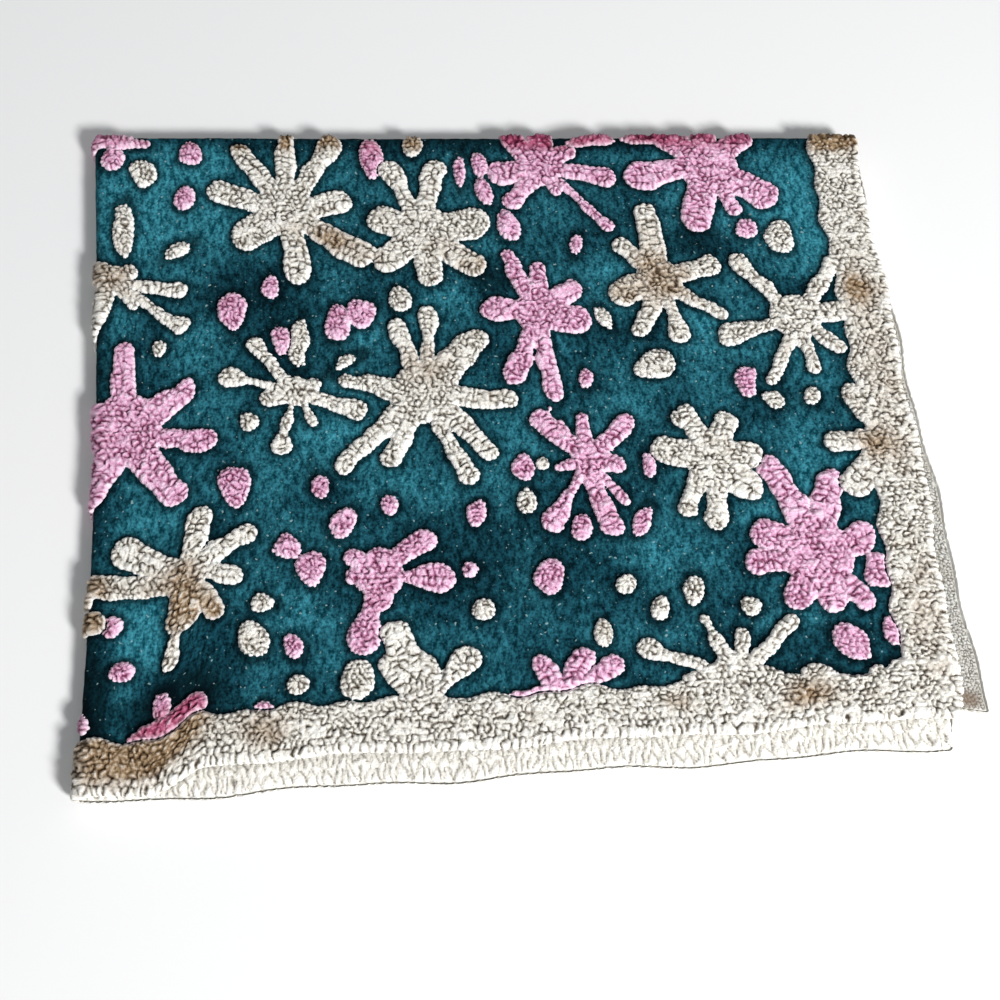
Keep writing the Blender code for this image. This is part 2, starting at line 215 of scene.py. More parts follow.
def layer_size(across, down, column):
    """One column of the table, for the layer that each place is in by its signs."""
    top, second, third, bottom = (sizes[column] for sizes in LAYERS.values())
    right = np.where(down >= 0, top, second)
    left = np.where(down >= 0, bottom, third)
    return np.where(across >= 0, right, left)


def waves(place, table):
    """A sum of sine waves, each with its height, turns and start."""
    return sum(height * np.sin(turns * place + start) for height, turns, start in table)


def left_edge(y):
    """The left side leans in by a quarter sine wave towards the near end."""
    nearness = np.clip(1.0 - y / FAR_EDGE, 0.0, 1.0)
    return LEFT_LEAN * np.sin(nearness * math.pi / 2)


def height_share(x, y):
    """The stack's height as a share of its plain height: 1, with slow crossed
    waves, less a bell-shaped hollow, times an ease down past the support."""
    (one_x, one_y), (two_x, two_y) = WAVE_LINES
    crossed = np.sin(one_x * x + one_y * y) * np.cos(two_y * y + two_x * x + WAVE_START)
    off_x = (x - HOLLOW_AT[0]) / HOLLOW_SIZE[0]
    off_y = (y - HOLLOW_AT[1]) / HOLLOW_SIZE[1]
    hollow = np.exp(-off_x * off_x - off_y * off_y)
    support = left_edge(y) + LAYERS["third"][NEAR_REACH]
    sag = smooth(x, support, support + SAG_WIDTH)
    return (1.0 + WAVE * crossed - HOLLOW_DEPTH * hollow) * (1.0 - SAG_DEPTH * sag)


def near_edge(across, down):
    """Where a layer's near edge lies: a straight slant, plus a step back."""
    side = np.abs(across) / HALF_ACROSS
    left, right, step = (
        layer_size(across, down, column) for column in (NEAR_LEFT, NEAR_RIGHT, NEAR_STEP)
    )
    return left + (right - left) * side + step * smooth(side, STEP_FROM, STEP_TO)


print("in the middle the near edge is", near_edge(HALF_ACROSS / 2, HALF_DOWN).round(4))

# %% The folding formula
PROBE = 0.0004


def middle_of_cloth(across, down):
    """A point of the open cloth, bent over the far fold and then the left one.
    Its edges are wavy, by waves that fade inwards as a high power."""
    side = np.abs(across) / HALF_ACROSS
    depth = np.abs(down) / HALF_DOWN
    far_reach = layer_size(across, down, FAR_REACH)
    widening = layer_size(across, down, NEAR_REACH) - far_reach
    reach = far_reach + widening * depth**2 + waves(down, RIGHT_WAVES) * side**WAVES_FADE
    near = near_edge(across, down) + waves(across, NEAR_WAVES) * depth**WAVES_FADE

    run_down = depth * (FAR_EDGE - near - FAR_ROLL + INNER_BEND * math.pi / 2)
    back, rise = bend(np.copysign(run_down, down), INNER_BEND, 0.0)
    y = FAR_EDGE - FAR_ROLL - back
    run_across = side * (reach - LEFT_ROLL + OUTER_BEND * math.pi / 2)
    out, up = bend(np.copysign(run_across, across), OUTER_BEND, rise)
    x = left_edge(y) + LEFT_ROLL + out
    z = REST_HEIGHT + (FOLD_HEIGHT + up - REST_HEIGHT) * height_share(x, y)
    return np.stack((x, y, z), axis=-1)


def folded(across, down, lift):
    """The cloth's middle plus lift times its normal, which is the cross product
    of two short steps along the cloth."""
    right = middle_of_cloth(across + PROBE, down) - middle_of_cloth(across - PROBE, down)
    nearer = middle_of_cloth(across, down + PROBE) - middle_of_cloth(across, down - PROBE)
    normal = np.cross(nearer, right)
    normal /= np.linalg.norm(normal, axis=-1, keepdims=True)
    return middle_of_cloth(across, down) + lift[..., None] * normal


# The frame stands over its own middle. The far fold's pile touches its far
# side, and the bare ground on the left fold its left side.
fold_line = np.linspace(0.0, HALF_DOWN, 400)
on_line = np.ones(fold_line.shape)
LEFT_SIDE = folded(0.0 * on_line, fold_line, GROUND / 2 * on_line)[:, 0].min()
SHIFT = np.array((LEFT_SIDE - CLOTH_LOW.x, FAR_EDGE - CLOTH_HIGH.y, 0.0))
print("folding formula is moved by", SHIFT.round(4))

# %% [markdown]
# ## The pattern
#
# The flowers are plain splashes, as if ink had been dropped: fat petals, thin
# rays and rays with a blob at the end, round an uneven middle. A petal is all
# that lies within a changing width of a swaying stroke, so the distance to its
# outline follows from Pythagoras.
#
# The table is drawn in round millimetres and degrees. The flowers out of
# sight, on the layers below, are made by a formula.

# %% Flowers
MM = 0.001
FLOWERS = (
    # colour, across, down and middle; petals: direction, length, half width of neck and end
    ("cream", 190, 85, 30, (
      (120, 90, 10, 9), (90, 95, 9, 8), (55, 100, 10, 11), (165, 80, 10, 11), (5, 65, 12, 13),
      (220, 65, 14, 16), (320, 100, 10, 15), (280, 85, 10, 12))),
    ("cream", 320, 110, 30, (
      (105, 85, 8, 11), (80, 85, 9, 12), (5, 70, 15, 16), (165, 55, 15, 16), (220, 65, 14, 12),
      (280, 65, 11, 11), (315, 75, 12, 12))),
    ("cream", 15, 155, 16, (
      (345, 80, 5, 9), (325, 95, 4, 7), (310, 40, 4, 4), (255, 75, 9, 4), (140, 35, 12, 10),
      (20, 30, 12, 8))),
    ("cream", 190, 285, 16, (
      (130, 70, 6, 7), (160, 75, 4, 9), (200, 35, 8, 8), (250, 65, 3, 8), (300, 40, 3, 3),
      (330, 60, 4, 4), (345, 70, 5, 9), (20, 25, 8, 6))),
    ("cream", 310, 290, 32, (
      (110, 85, 7, 10), (80, 95, 5, 9), (50, 90, 16, 12), (350, 90, 9, 9), (315, 95, 11, 8),
      (290, 105, 6, 9), (245, 85, 8, 9), (220, 115, 10, 8), (170, 80, 11, 7))),
    ("cream", 545, 170, 24, (
      (95, 90, 12, 10), (125, 60, 9, 9), (20, 65, 11, 10), (200, 55, 15, 14), (250, 70, 9, 9),
      (320, 75, 7, 6), (285, 75, 4, 10))),
    ("cream", 670, 215, 26, (
      (130, 90, 7, 9), (50, 85, 7, 8), (200, 80, 7, 12), (5, 60, 10, 9), (250, 85, 6, 6),
      (275, 65, 5, 5), (320, 60, 7, 7))),
    ("cream", 570, 365, 26, (
      (110, 60, 10, 9), (65, 50, 12, 11), (170, 55, 13, 14), (0, 48, 12, 13), (310, 60, 12, 14),
      (270, 78, 9, 10), (240, 70, 10, 9))),
    ("cream", 90, 455, 20, (
      (80, 60, 9, 11), (150, 75, 11, 14), (180, 90, 10, 9), (30, 70, 9, 8), (345, 50, 8, 7),
      (300, 58, 9, 9), (265, 52, 10, 15), (260, 80, 4, 6))),
    ("cream", 300, 600, 22, (
      (105, 90, 18, 13), (130, 65, 10, 12), (85, 50, 12, 10), (55, 70, 4, 13))),
    ("cream", 570, 585, 26, (
      (160, 90, 4, 9), (110, 65, 9, 4), (80, 50, 6, 6), (40, 80, 7, 6), (185, 50, 14, 8),
      (350, 45, 14, 10))),
    ("cream", 740, 355, 26, (
      (180, 65, 9, 11), (225, 75, 14, 13), (120, 70, 12, 10), (170, 40, 14, 8))),
    ("cream", -35, 475, 24, (
      (20, 45, 12, 10), (340, 55, 12, 10), (110, 60, 12, 12), (200, 60, 11, 12))),
    ("pink", 30, 305, 34, (
      (95, 85, 12, 9), (25, 75, 13, 11), (345, 90, 8, 12), (300, 95, 15, 11), (250, 115, 13, 4),
      (150, 60, 16, 12), (190, 55, 16, 14))),
    ("pink", 445, 35, 24, (
      (195, 55, 12, 13), (130, 55, 13, 10), (90, 45, 14, 12), (345, 74, 8, 10),
      (310, 100, 4, 7), (290, 38, 4, 4), (235, 62, 10, 9), (30, 40, 10, 8))),
    ("pink", 610, 35, 32, (
      (190, 86, 12, 16), (255, 85, 15, 14), (290, 65, 6, 7), (325, 78, 14, 15),
      (40, 60, 14, 10), (140, 60, 12, 12), (90, 45, 14, 12))),
    ("pink", 425, 205, 24, (
      (170, 55, 10, 13), (115, 75, 8, 6), (80, 58, 9, 6), (40, 55, 11, 11), (340, 50, 15, 15),
      (250, 85, 9, 12), (270, 100, 9, 8))),
    ("pink", 455, 365, 16, (
      (135, 70, 8, 11), (115, 50, 4, 4), (95, 50, 8, 4), (40, 65, 7, 9), (350, 38, 10, 9),
      (190, 33, 7, 5), (245, 80, 5, 11), (280, 82, 9, 11), (310, 60, 5, 5))),
    ("pink", 260, 470, 24, (
      (145, 35, 10, 9), (180, 32, 10, 8), (40, 62, 8, 10), (350, 70, 5, 14), (270, 38, 14, 13),
      (255, 80, 8, 14))),
    ("pink", 655, 470, 34, (
      (105, 110, 12, 11), (80, 88, 14, 12), (150, 65, 12, 13), (190, 68, 9, 13),
      (15, 58, 12, 15), (245, 62, 12, 13), (275, 62, 9, 12), (310, 70, 7, 9))),
    ("pink", 420, 593, 12, (
      (125, 45, 6, 9), (60, 48, 7, 11), (30, 62, 7, 9), (185, 50, 9, 11))),
    ("pink", 62, 590, 8, (
      (20, 50, 11, 10), (205, 22, 9, 9))),
    ("pink", 5, 5, 8, (
      (355, 55, 8, 5), (200, 30, 10, 8))),
)
HIDDEN_FLOWERS = (
    # colour across down middle petals length neck end turn
    ("pink", -380, 310, 30, 7, 90, 12, 14, 15),
    ("cream", -150, 120, 26, 7, 84, 11, 13, 35),
    ("pink", -560, 110, 26, 6, 80, 10, 12, 10),
    ("cream", -610, 440, 28, 7, 86, 10, 12, 25),
    ("cream", -170, 500, 26, 6, 82, 11, 13, 40),
    ("pink", -360, 60, 22, 5, 70, 10, 12, 50),
)


def hidden_petals(count, length, neck, end, turn):
    """Petals in even steps, each turned by up to 8 degrees, lengthened by up to an
    eighth and widened by up to a fifth, by sines of its number."""
    made = []
    for step in range(count):
        one, other = math.sin(2.4 * step + turn), math.cos(1.9 * step + turn)
        direction = turn + 360 * step / count + 8 * other
        made.append((direction, length * (0.91 + 0.13 * one), neck, end * (1 + 0.2 * other)))
    return tuple(made)


FLOWERS += tuple((*row[:4], hidden_petals(row[4], *row[5:])) for row in HIDDEN_FLOWERS)
print(len(FLOWERS), "flowers with", sum(len(row[4]) for row in FLOWERS), "petals")

# %% Spots
SPOTS = {
    # across, down, half_across, half_down, lean
    "pink": (
        (20, 25, 12, 14, 0), (97, 20, 11, 13, 0), (90, 70, 10, 15, 10), (133, 198, 14, 22, 0),
        (170, 172, 9, 13, 0), (178, 228, 10, 15, -10), (233, 213, 13, 19, 0),
        (256, 203, 14, 17, 20), (278, 25, 13, 22, 0), (365, 42, 7, 20, 5), (383, 33, 8, 15, 0),
        (385, 65, 9, 17, -10), (405, 105, 11, 17, 0), (470, 128, 7, 12, 15),
        (638, 110, 10, 13, 0), (613, 285, 12, 17, 0), (463, 280, 7, 11, 0), (426, 310, 4, 5, 0),
        (512, 373, 8, 12, 0), (395, 370, 11, 13, 0), (352, 415, 10, 13, 0), (272, 402, 10, 10, 0),
        (210, 383, 9, 13, 0), (230, 418, 11, 16, 30), (132, 378, 15, 21, 0),
        (180, 440, 13, 12, 0), (200, 463, 13, 16, -10), (185, 535, 9, 11, -15),
        (160, 591, 10, 11, 0), (25, 490, 10, 9, 0), (36, 530, 13, 10, -5), (72, 562, 7, 13, 0),
        (5, 572, 6, 10, 0), (342, 470, 9, 10, 0), (413, 480, 14, 18, 15), (446, 432, 10, 14, 10),
        (500, 430, 8, 15, 25), (708, 490, 14, 20, -10), (674, 559, 15, 21, -35),
        (712, 551, 9, 14, -10), (497, 5, 26, 6, -5), (560, 2, 36, 6, 0),
    ),
    "cream": (
        (50, 42, 13, 15, 0), (30, 105, 10, 29, 0), (80, 128, 16, 8, -30), (318, 12, 11, 15, 0),
        (62, 228, 8, 9, 10), (195, 235, 9, 28, 5), (238, 255, 16, 7, -35), (295, 188, 11, 14, 0),
        (487, 210, 8, 15, -25), (530, 266, 21, 16, -15), (670, 120, 14, 20, 10),
        (637, 307, 10, 11, 0), (673, 303, 9, 11, 10), (145, 315, 9, 10, 0), (398, 405, 10, 14, 0),
        (415, 367, 6, 6, 0), (158, 492, 10, 10, 0), (148, 525, 14, 19, -10),
        (242, 570, 16, 20, 15), (190, 572, 10, 9, 15), (353, 510, 10, 10, 0),
        (480, 492, 10, 9, -20), (458, 537, 9, 12, 0), (508, 515, 9, 13, 20),
        (540, 500, 9, 14, 20), (590, 520, 10, 10, 0), (640, 588, 17, 10, 0), (690, 592, 8, 8, 0),
        (716, 588, 14, 12, 0), (545, 325, 9, 11, 0),
    ),
}
print(sum(len(rows) for rows in SPOTS.values()), "spots")

# %% Distance to a petal or spot
SWAY = 0.10
SWAY_TURNS = (3.1, 0.041, 0.013)
BLOB_ENDS = 3.2
TAPER_FROM = 0.2
EGG = 0.18
FULLER = 1.3


def petals(flower):
    """Each petal's direction, length, half width at its end and at its neck, and
    how far its tip sways aside, by a sine of its number and the flower's place."""
    for number, (direction, length, neck, end) in enumerate(flower[4]):
        by_number, by_across, by_down = SWAY_TURNS
        angle = by_number * number + by_across * flower[1] + by_down * flower[2]
        sway = SWAY * length * math.sin(angle) * MM
        half_widths = (end + FULLER) * MM, (neck + FULLER) * MM
        yield math.radians(direction), length * MM, *half_widths, sway


def petal_distance(across, down, flower, petal):
    """Distance to the nearest point of a swaying stroke, less the width there. A
    blob widens just before the end, and a taper narrows all the way."""
    direction, length, end, neck, sway = petal
    off_across = across - MM * flower[1]
    off_far = MM * flower[2] - down
    along = off_across * math.cos(direction) + off_far * math.sin(direction)
    beside = off_far * math.cos(direction) - off_across * math.sin(direction)
    on_stroke = np.clip(along, 0.0, length - end)
    widens_from = length - BLOB_ENDS * end if end > neck else TAPER_FROM * length
    width = neck + (end - neck) * smooth(on_stroke, widens_from, length - end)
    return np.hypot(along - on_stroke, beside - sway * (on_stroke / length) ** 2) - width


def spot_distance(across, down, spot):
    """Distance to a leaning oval, nearly: how far its equation is from 1, times
    its smaller half size. One end is wider than the other, as an egg's is."""
    middle_across, middle_down, half_across, half_down, lean = spot
    turn = math.radians(lean)
    off_across = across - MM * middle_across
    off_down = down - MM * middle_down
    wide = (off_across * math.cos(turn) + off_down * math.sin(turn)) / (MM * half_across)
    long = (off_down * math.cos(turn) - off_across * math.sin(turn)) / (MM * half_down)
    egg = EGG * math.sin(middle_across + 2.0 * middle_down)
    ratio = np.hypot(wide * (1.0 + egg * np.clip(long, -1.0, 1.0)), long)
    return (ratio - 1.0) * MM * min(half_across, half_down)


print("first petal:", [round(size, 3) for size in next(petals(FLOWERS[0]))])

# %% Border
BORDER = 0.046
SCALLOP = 0.004
SCALLOP_TURNS = (110.0, 37.0)
SCALLOP_START = 0.7


def border_width(place):
    """The border's width along one side, uneven by the product of two sines."""
    fast, slow = SCALLOP_TURNS
    return BORDER + SCALLOP * np.sin(fast * place) * np.sin(slow * place + SCALLOP_START)


def border_distance(across, down):
    """Distance to the border's inner edge."""
    to_side = HALF_ACROSS - np.abs(across) - border_width(down)
    to_end = HALF_DOWN - np.abs(down) - border_width(across)
    return np.minimum(to_side, to_end)


print("the border is about", round(1000 * border_width(0.1)), "mm wide")

# %% Random hills
CLOTH_MARGIN = 0.030


def clouds(across, down, size, seed):
    """Smooth hills about as wide as size, from -1 to 1: random numbers on the
    corners of a square net, joined by the cubic ease both ways."""
    rows = int(2 * (HALF_ACROSS + CLOTH_MARGIN) / size) + 3
    columns = int(2 * (HALF_DOWN + CLOTH_MARGIN) / size) + 3
    net = np.random.default_rng(seed).uniform(-1, 1, (rows, columns))
    row = (across + HALF_ACROSS + CLOTH_MARGIN) / size
    column = (down + HALF_DOWN + CLOTH_MARGIN) / size
    i, j = row.astype(int), column.astype(int)
    share_i, share_j = smooth(row - i, 0.0, 1.0), smooth(column - j, 0.0, 1.0)
    here = net[i, j] + (net[i, j + 1] - net[i, j]) * share_j
    after = net[i + 1, j] + (net[i + 1, j + 1] - net[i + 1, j]) * share_j
    return here + (after - here) * share_i


print("hills:", clouds(fold_line, fold_line, 0.050, 1)[::100].round(2))

# %% Where there is pile
OVERHANG = 0.0018
CORNER_ROUND = 0.004
FAR_FROM_PILE = 0.030
SWAYED_REACH = 1.1
WOBBLE = (0.0025, 0.014)
WOBBLE_SEED = 41


def beyond_edge(across, down):
    """Distance outside the cloth's outline, a rectangle with round corners that
    is OVERHANG larger, because the curls lean over its edge."""
    out_side = np.abs(across) - (HALF_ACROSS + OVERHANG - CORNER_ROUND)
    out_end = np.abs(down) - (HALF_DOWN + OVERHANG - CORNER_ROUND)
    corner = np.hypot(np.maximum(out_side, 0.0), np.maximum(out_end, 0.0))
    return corner + np.minimum(np.maximum(out_side, out_end), 0.0) - CORNER_ROUND


def motif_distance(across, down, colour):
    """Distance to the nearest petal, flower middle or spot of one colour: the
    least of all, with random hills added so that no outline is straight."""
    nearest = np.full(across.shape, FAR_FROM_PILE)
    for flower in FLOWERS:
        if flower[0] == colour:
            from_middle = np.hypot(across - MM * flower[1], down - MM * flower[2])
            nearest = np.minimum(nearest, from_middle - MM * flower[3])
            longest = max(petal[1] for petal in flower[4])
            reach = SWAYED_REACH * MM * longest + FAR_FROM_PILE
            close = from_middle < reach
            for petal in petals(flower):
                there = petal_distance(across[close], down[close], flower, petal)
                nearest[close] = np.minimum(nearest[close], there)
    for spot in SPOTS[colour]:
        nearest = np.minimum(nearest, spot_distance(across, down, spot))
    return nearest + WOBBLE[0] * clouds(across, down, WOBBLE[1], WOBBLE_SEED)


def pile_distance(across, down, colour):
    """Distance to one colour's outline. Pink ends where cream begins, and both
    end at the cloth's edge."""
    here = np.minimum(motif_distance(across, down, "cream"), border_distance(across, down))
    if colour == "pink":
        here = np.maximum(motif_distance(across, down, "pink"), -here)
    return np.maximum(here, beyond_edge(across, down))


print("cream on the far fold:", (pile_distance(fold_line, fold_line, "cream") < 0).mean())

# %% [markdown]
# ## Curls
#
# The yarn of the pile is looped and then brushed until it curls into small
# lumps, each pressed against the next. A lump is therefore as wide as its
# neighbours let it be, as the cells of a honeycomb are. So the lumps' middles
# are spread first: rows of places are shaken at random and moved towards the
# middle of the patch that each is nearest to. In a narrow petal a single row of
# wide lumps lies across it, like the rings of a caterpillar.
#
# Beads would be too neat, since yarn bends and tangles. So the net between the
# lumps is bent by smooth random hills, and some creases are deeper than others,
# so that lumps run together. A second, finer net breaks every lump into crumbs,
# and under the near edge, where the third layer's border is brushed downwards,
# the lumps are tall.

# %% Places of the curls
PITCH = 0.0058
SHAKE = 0.34
SEGMENT = 0.0056
NARROW = 0.0104
TALL = (0.0052, 0.0130)
TALL_SHAKE = 0.18
ROW_GAP = math.sqrt(0.75)
chance = np.random.default_rng(7)


def shaken_rows(along, between, shake=SHAKE):
    """Rows of places, every other row moved by half a place, and each place
    moved by up to shake times the steps each way."""
    rows = np.arange(int(2 * HALF_DOWN / between))
    places = np.arange(int(2 * HALF_ACROSS / along))
    row, place = (grid.ravel() for grid in np.meshgrid(rows, places, indexing="ij"))
    even = np.stack(((place + 0.5 * (row % 2) + 0.25) * along, (row + 0.5) * between), axis=1)
    shaken = chance.uniform(-shake, shake, even.shape) * (along, between)
    return even - (HALF_ACROSS, HALF_DOWN) + shaken


def under_near(places):
    """Whether a place is under the near edge, on the third layer's border."""
    return (places[:, 0] < 0) & (places[:, 1] < BORDER - HALF_DOWN)


def with_tall_lumps(places):
    """Under the near edge the pile of the third layer stands in tall lumps."""
    tall = shaken_rows(*TALL, TALL_SHAKE)
    return np.concatenate((places[~under_near(places)], tall[under_near(tall)]))


print("rows are", round(1000 * PITCH * ROW_GAP, 1), "mm apart")

# %% Rows along the petals
KEEPS_HONEYCOMB = 3
PAST_MIDDLE = 0.002
PAST_NECK = 2.2
ON_PETAL = 0.001
TWO_ROWS = 0.45


def petal_rows(places):
    """Take the places off the petals, from where each stands alone, and put one
    row on a narrow petal and two, half a step apart, on a wide one. Every third
    wide petal keeps its honeycomb."""
    rows = []
    for flower in FLOWERS:
        middle = MM * np.array(flower[1:3])
        for number, petal in enumerate(petals(flower)):
            direction, length, end, neck, sway = petal
            widest = max(end, neck)
            if widest > NARROW and number % KEEPS_HONEYCOMB == KEEPS_HONEYCOMB - 1:
                continue
            alone = max(MM * flower[3] + PAST_MIDDLE, PAST_NECK * neck)
            off_middle = np.hypot(places[:, 0] - middle[0], places[:, 1] - middle[1])
            on_petal = petal_distance(places[:, 0], places[:, 1], flower, petal) < ON_PETAL
            places = places[~(on_petal & (off_middle > alone))]
            steps = max(round((length - alone) / SEGMENT), 1)
            outward = np.array((math.cos(direction), -math.sin(direction)))
            sideways = np.array((-math.sin(direction), -math.cos(direction)))
            for side in (0.0,) if widest < NARROW else (-TWO_ROWS, TWO_ROWS):
                out = alone + (np.arange(steps) + 0.5 + 0.5 * side) * (length - alone) / steps
                beside = side * widest + sway * (out / length) ** 2
                rows.append(middle + out[:, None] * outward + beside[:, None] * sideways)
    return np.concatenate([places] + rows)


print("petals under", round(2000 * NARROW), "mm wide have one row")

# %% The nearest two curls
SQUARE_SIDE = 1.6
FAR_OFF = 1.0


def squares_of(places, side):
    """The number of the square that each place lies in."""
    columns = int(2 * (HALF_ACROSS + CLOTH_MARGIN) / side) + 3
    row = ((places[:, 1] + HALF_DOWN + CLOTH_MARGIN) / side).astype(int) + 1
    column = ((places[:, 0] + HALF_ACROSS + CLOTH_MARGIN) / side).astype(int) + 1
    return row * columns + column, columns


def two_nearest(points, curls, pitch):
    """The nearest two curls of each point and the squares of their distances.
    The curls are sorted into squares, and nine squares are looked through."""
    square, columns = squares_of(curls, SQUARE_SIDE * pitch)
    home, _ = squares_of(points, SQUARE_SIDE * pitch)
    order = np.argsort(square, kind="stable")
    rank = np.arange(len(order)) - np.searchsorted(square[order], square[order])
    held = np.full((max(square.max(), home.max()) + columns + 2, rank.max() + 1), -1)
    held[square[order], rank] = order

    nearest, second = np.zeros(len(points), int), np.zeros(len(points), int)
    near, next_near = np.full(len(points), FAR_OFF), np.full(len(points), FAR_OFF)
    steps = [row * columns + column for row in (-1, 0, 1) for column in (-1, 0, 1)]
    for step in steps:
        for place_in_square in range(held.shape[1]):
            curl = held[home + step, place_in_square]
            gap = np.where(curl >= 0, ((points - curls[curl]) ** 2).sum(axis=1), np.inf)
            first, other = gap < near, (gap >= near) & (gap < next_near)
            second = np.where(first, nearest, np.where(other, curl, second))
            next_near = np.where(first, near, np.where(other, gap, next_near))
            nearest = np.where(first, curl, nearest)
            near = np.where(first, gap, near)
    return nearest, second, near, next_near


three = np.array(((0.0, 0.0), (0.003, 0.0), (0.0, 0.004)))
print("the nearest two of three places:", two_nearest(three[:1], three, PITCH)[:2])

# %% Settled curls and crumbs
RASTER = 0.0019
SETTLING_STEPS = 3
CRUMB_PITCH = 0.0034
CRUMB_SHAKE = 0.42


def settled_curls():
    """Curls over the whole cloth, each moved to the middle of its own patch."""
    curls = petal_rows(shaken_rows(PITCH, PITCH * ROW_GAP))
    columns = np.arange(-HALF_ACROSS, HALF_ACROSS, RASTER)
    rows = np.arange(-HALF_DOWN, HALF_DOWN, RASTER)
    across, down = np.meshgrid(columns, rows, indexing="ij")
    cream = pile_distance(across, down, "cream") < 0
    pink = pile_distance(across, down, "pink") < 0
    points = np.stack((across[cream | pink], down[cream | pink]), axis=1)
    for _ in range(SETTLING_STEPS):
        nearest = two_nearest(points, curls, PITCH)[0]
        share = np.bincount(nearest, minlength=len(curls))
        total = [np.bincount(nearest, weights=axis, minlength=len(curls)) for axis in points.T]
        curls = np.stack(total, axis=1)[share > 0] / share[share > 0, None]
    print("pile covers", round(points.shape[0] * RASTER**2, 3), "square metres")
    return with_tall_lumps(curls)


CURLS = settled_curls()
CRUMBS = shaken_rows(CRUMB_PITCH, CRUMB_PITCH * ROW_GAP, CRUMB_SHAKE)
print(len(CURLS), "curls and", len(CRUMBS), "crumbs")

# %% [markdown]
# ## The surface of the pile
#
# The pile is a skin over a net of small squares on the open cloth. Squares on a
# flower or on the border are kept, and corners just outside are drawn in to the
# outline. The skin's height is the pile's own, rounded off by a quarter circle
# at the outline and pressed in at every crease. The outline is drawn in at the
# creases too, so it is scalloped like a row of pearls. There the skin turns
# under and comes down to the ground a little way in, which gives the dark line
# that thick pile has round it; the foot is painted dark as well, as painted
# shade. At the cloth's own edge it goes on to the back.

# %% Stains, painted light and painted shade
# Stains and tanned patches, with painted shade among them: the rows on the far fold and the blobs
# at the near left and by the left fold darken curls where they are in shade. The two pale rows
# along the near edges are a painted highlight.
STAINS_AND_PAINTED_SHADING = (
    # across, down, half_across, half_down, and tan, or pale if negative
    (230, 120, 30, 20, 0.9), (150, 5, 15, 10, 1.0), (200, 5, 15, 10, 1.0), (20, 150, 25, 30, 0.7),
    (80, 475, 25, 35, 1.0), (110, 500, 20, 20, 0.8), (545, 165, 30, 45, 0.8),
    (500, 185, 20, 20, 0.6), (730, 185, 15, 20, 0.9), (720, 360, 20, 20, 0.8),
    (635, 605, 25, 20, 0.7), (520, 605, 15, 10, 0.5), (160, 610, 25, 20, 0.7),
    (50, 600, 45, 25, 1.8), (80, 585, 35, 20, 0.9), (730, 5, 25, 15, 0.9), (10, 475, 15, 55, 1.0),
    (740, 260, 20, 120, 0.4), (740, 540, 20, 60, 0.4), (270, 145, 20, 15, 0.5),
    (370, 155, 25, 20, 0.5), (320, 260, 25, 30, 0.5), (400, 0, 400, 18, 1.3),
    (745, -625, 15, 10, 1.2), (380, 630, 500, 10, -0.2), (-380, -620, 500, 30, -0.2),
)
# Painted light and shade on the ground: blobs that are lighter where it is lit, and darker along
# the far and left folds, at the near left and in shaded places by the flowers.
PAINTED_LIGHT_AND_SHADE = (
    # across, down, half_across, half_down, and lighter, or darker if negative
    (60, 75, 55, 55, 1.2), (110, 30, 60, 20, 0.4), (50, 500, 20, 40, 0.9), (690, 90, 35, 55, 1.2),
    (250, 345, 60, 30, 0.3), (620, 420, 50, 30, 0.4), (150, 180, 60, 35, -0.6),
    (85, 570, 40, 30, -1.8), (10, 560, 15, 55, -1.4), (0, 300, 12, 300, -0.6),
    (360, 460, 120, 70, -0.4), (620, 560, 110, 30, -0.3), (400, 0, 400, 14, -1.0),
    (385, 165, 20, 20, -0.9), (590, 125, 30, 20, -0.8), (700, 580, 50, 15, -0.3),
)


def blobs(table, across, down):
    """The sum of the table's soft blobs, each a bell curve both ways."""
    total = np.zeros(across.shape)
    for middle_across, middle_down, half_across, half_down, amount in table:
        off_across = (across / MM - middle_across) / half_across
        off_down = (down / MM - middle_down) / half_down
        total += amount * np.exp(-off_across * off_across - off_down * off_down)
    return total


print(len(STAINS_AND_PAINTED_SHADING), "stains and", len(PAINTED_LIGHT_AND_SHADE), "places where the nap lies another way")

# %% Height of the pile
SECOND_TO_THIRD = 0.010
PROUD = 1.25


def pile_height(across, down):
    """Height of the pile: each layer's own, full again where the third layer
    comes out from under the second one's edge, and eased round the folds. The
    highest curls of the top layer stand a little proud of the frame."""
    to_right = smooth(across, -OUTER_BEND * math.pi / 2, 0.0)
    to_upper = smooth(down, -INNER_BEND * math.pi / 2, 0.0)
    y = middle_of_cloth(across, down)[..., 1]
    uncovered = smooth(near_edge(np.abs(across), -np.abs(down)) - y, 0.0, SECOND_TO_THIRD)
    third = PILE["third"] + (PILE["top"] - PILE["third"]) * uncovered
    near_side = PILE["bottom"] + (PROUD * PILE["top"] - PILE["bottom"]) * to_right
    far_side = third + (PILE["second"] - third) * to_right
    return far_side + (near_side - far_side) * to_upper


print("the tallest pile is", round(1000 * PROUD * PILE["top"], 2), "mm high")

# %% Lumps
BENDS = ((0.0020, 0.0090, (1, 2)), (0.0012, 0.0042, (11, 12)))
LUMP_ROUND = 0.48
LUCK_SEED = 3
SHALLOWEST = 0.55
LUCK_SPREAD = 6.1
FADING_MOST = 0.40
CREASE_FADES = 0.0060
FADES_SEED = 5
FADES_FROM, FADES_TO = 0.1, 0.8
TALL_FAINT, TALL_UPRIGHT = 0.85, 0.65
TINY = 1e-6


def bent_net(across, down):
    """The places, moved by smooth random hills, wide ones and fine ones."""
    bent = np.stack((across, down), axis=1)
    for amount, size, seeds in BENDS:
        bent += np.stack([amount * clouds(across, down, size, seed) for seed in seeds], axis=1)
    return bent


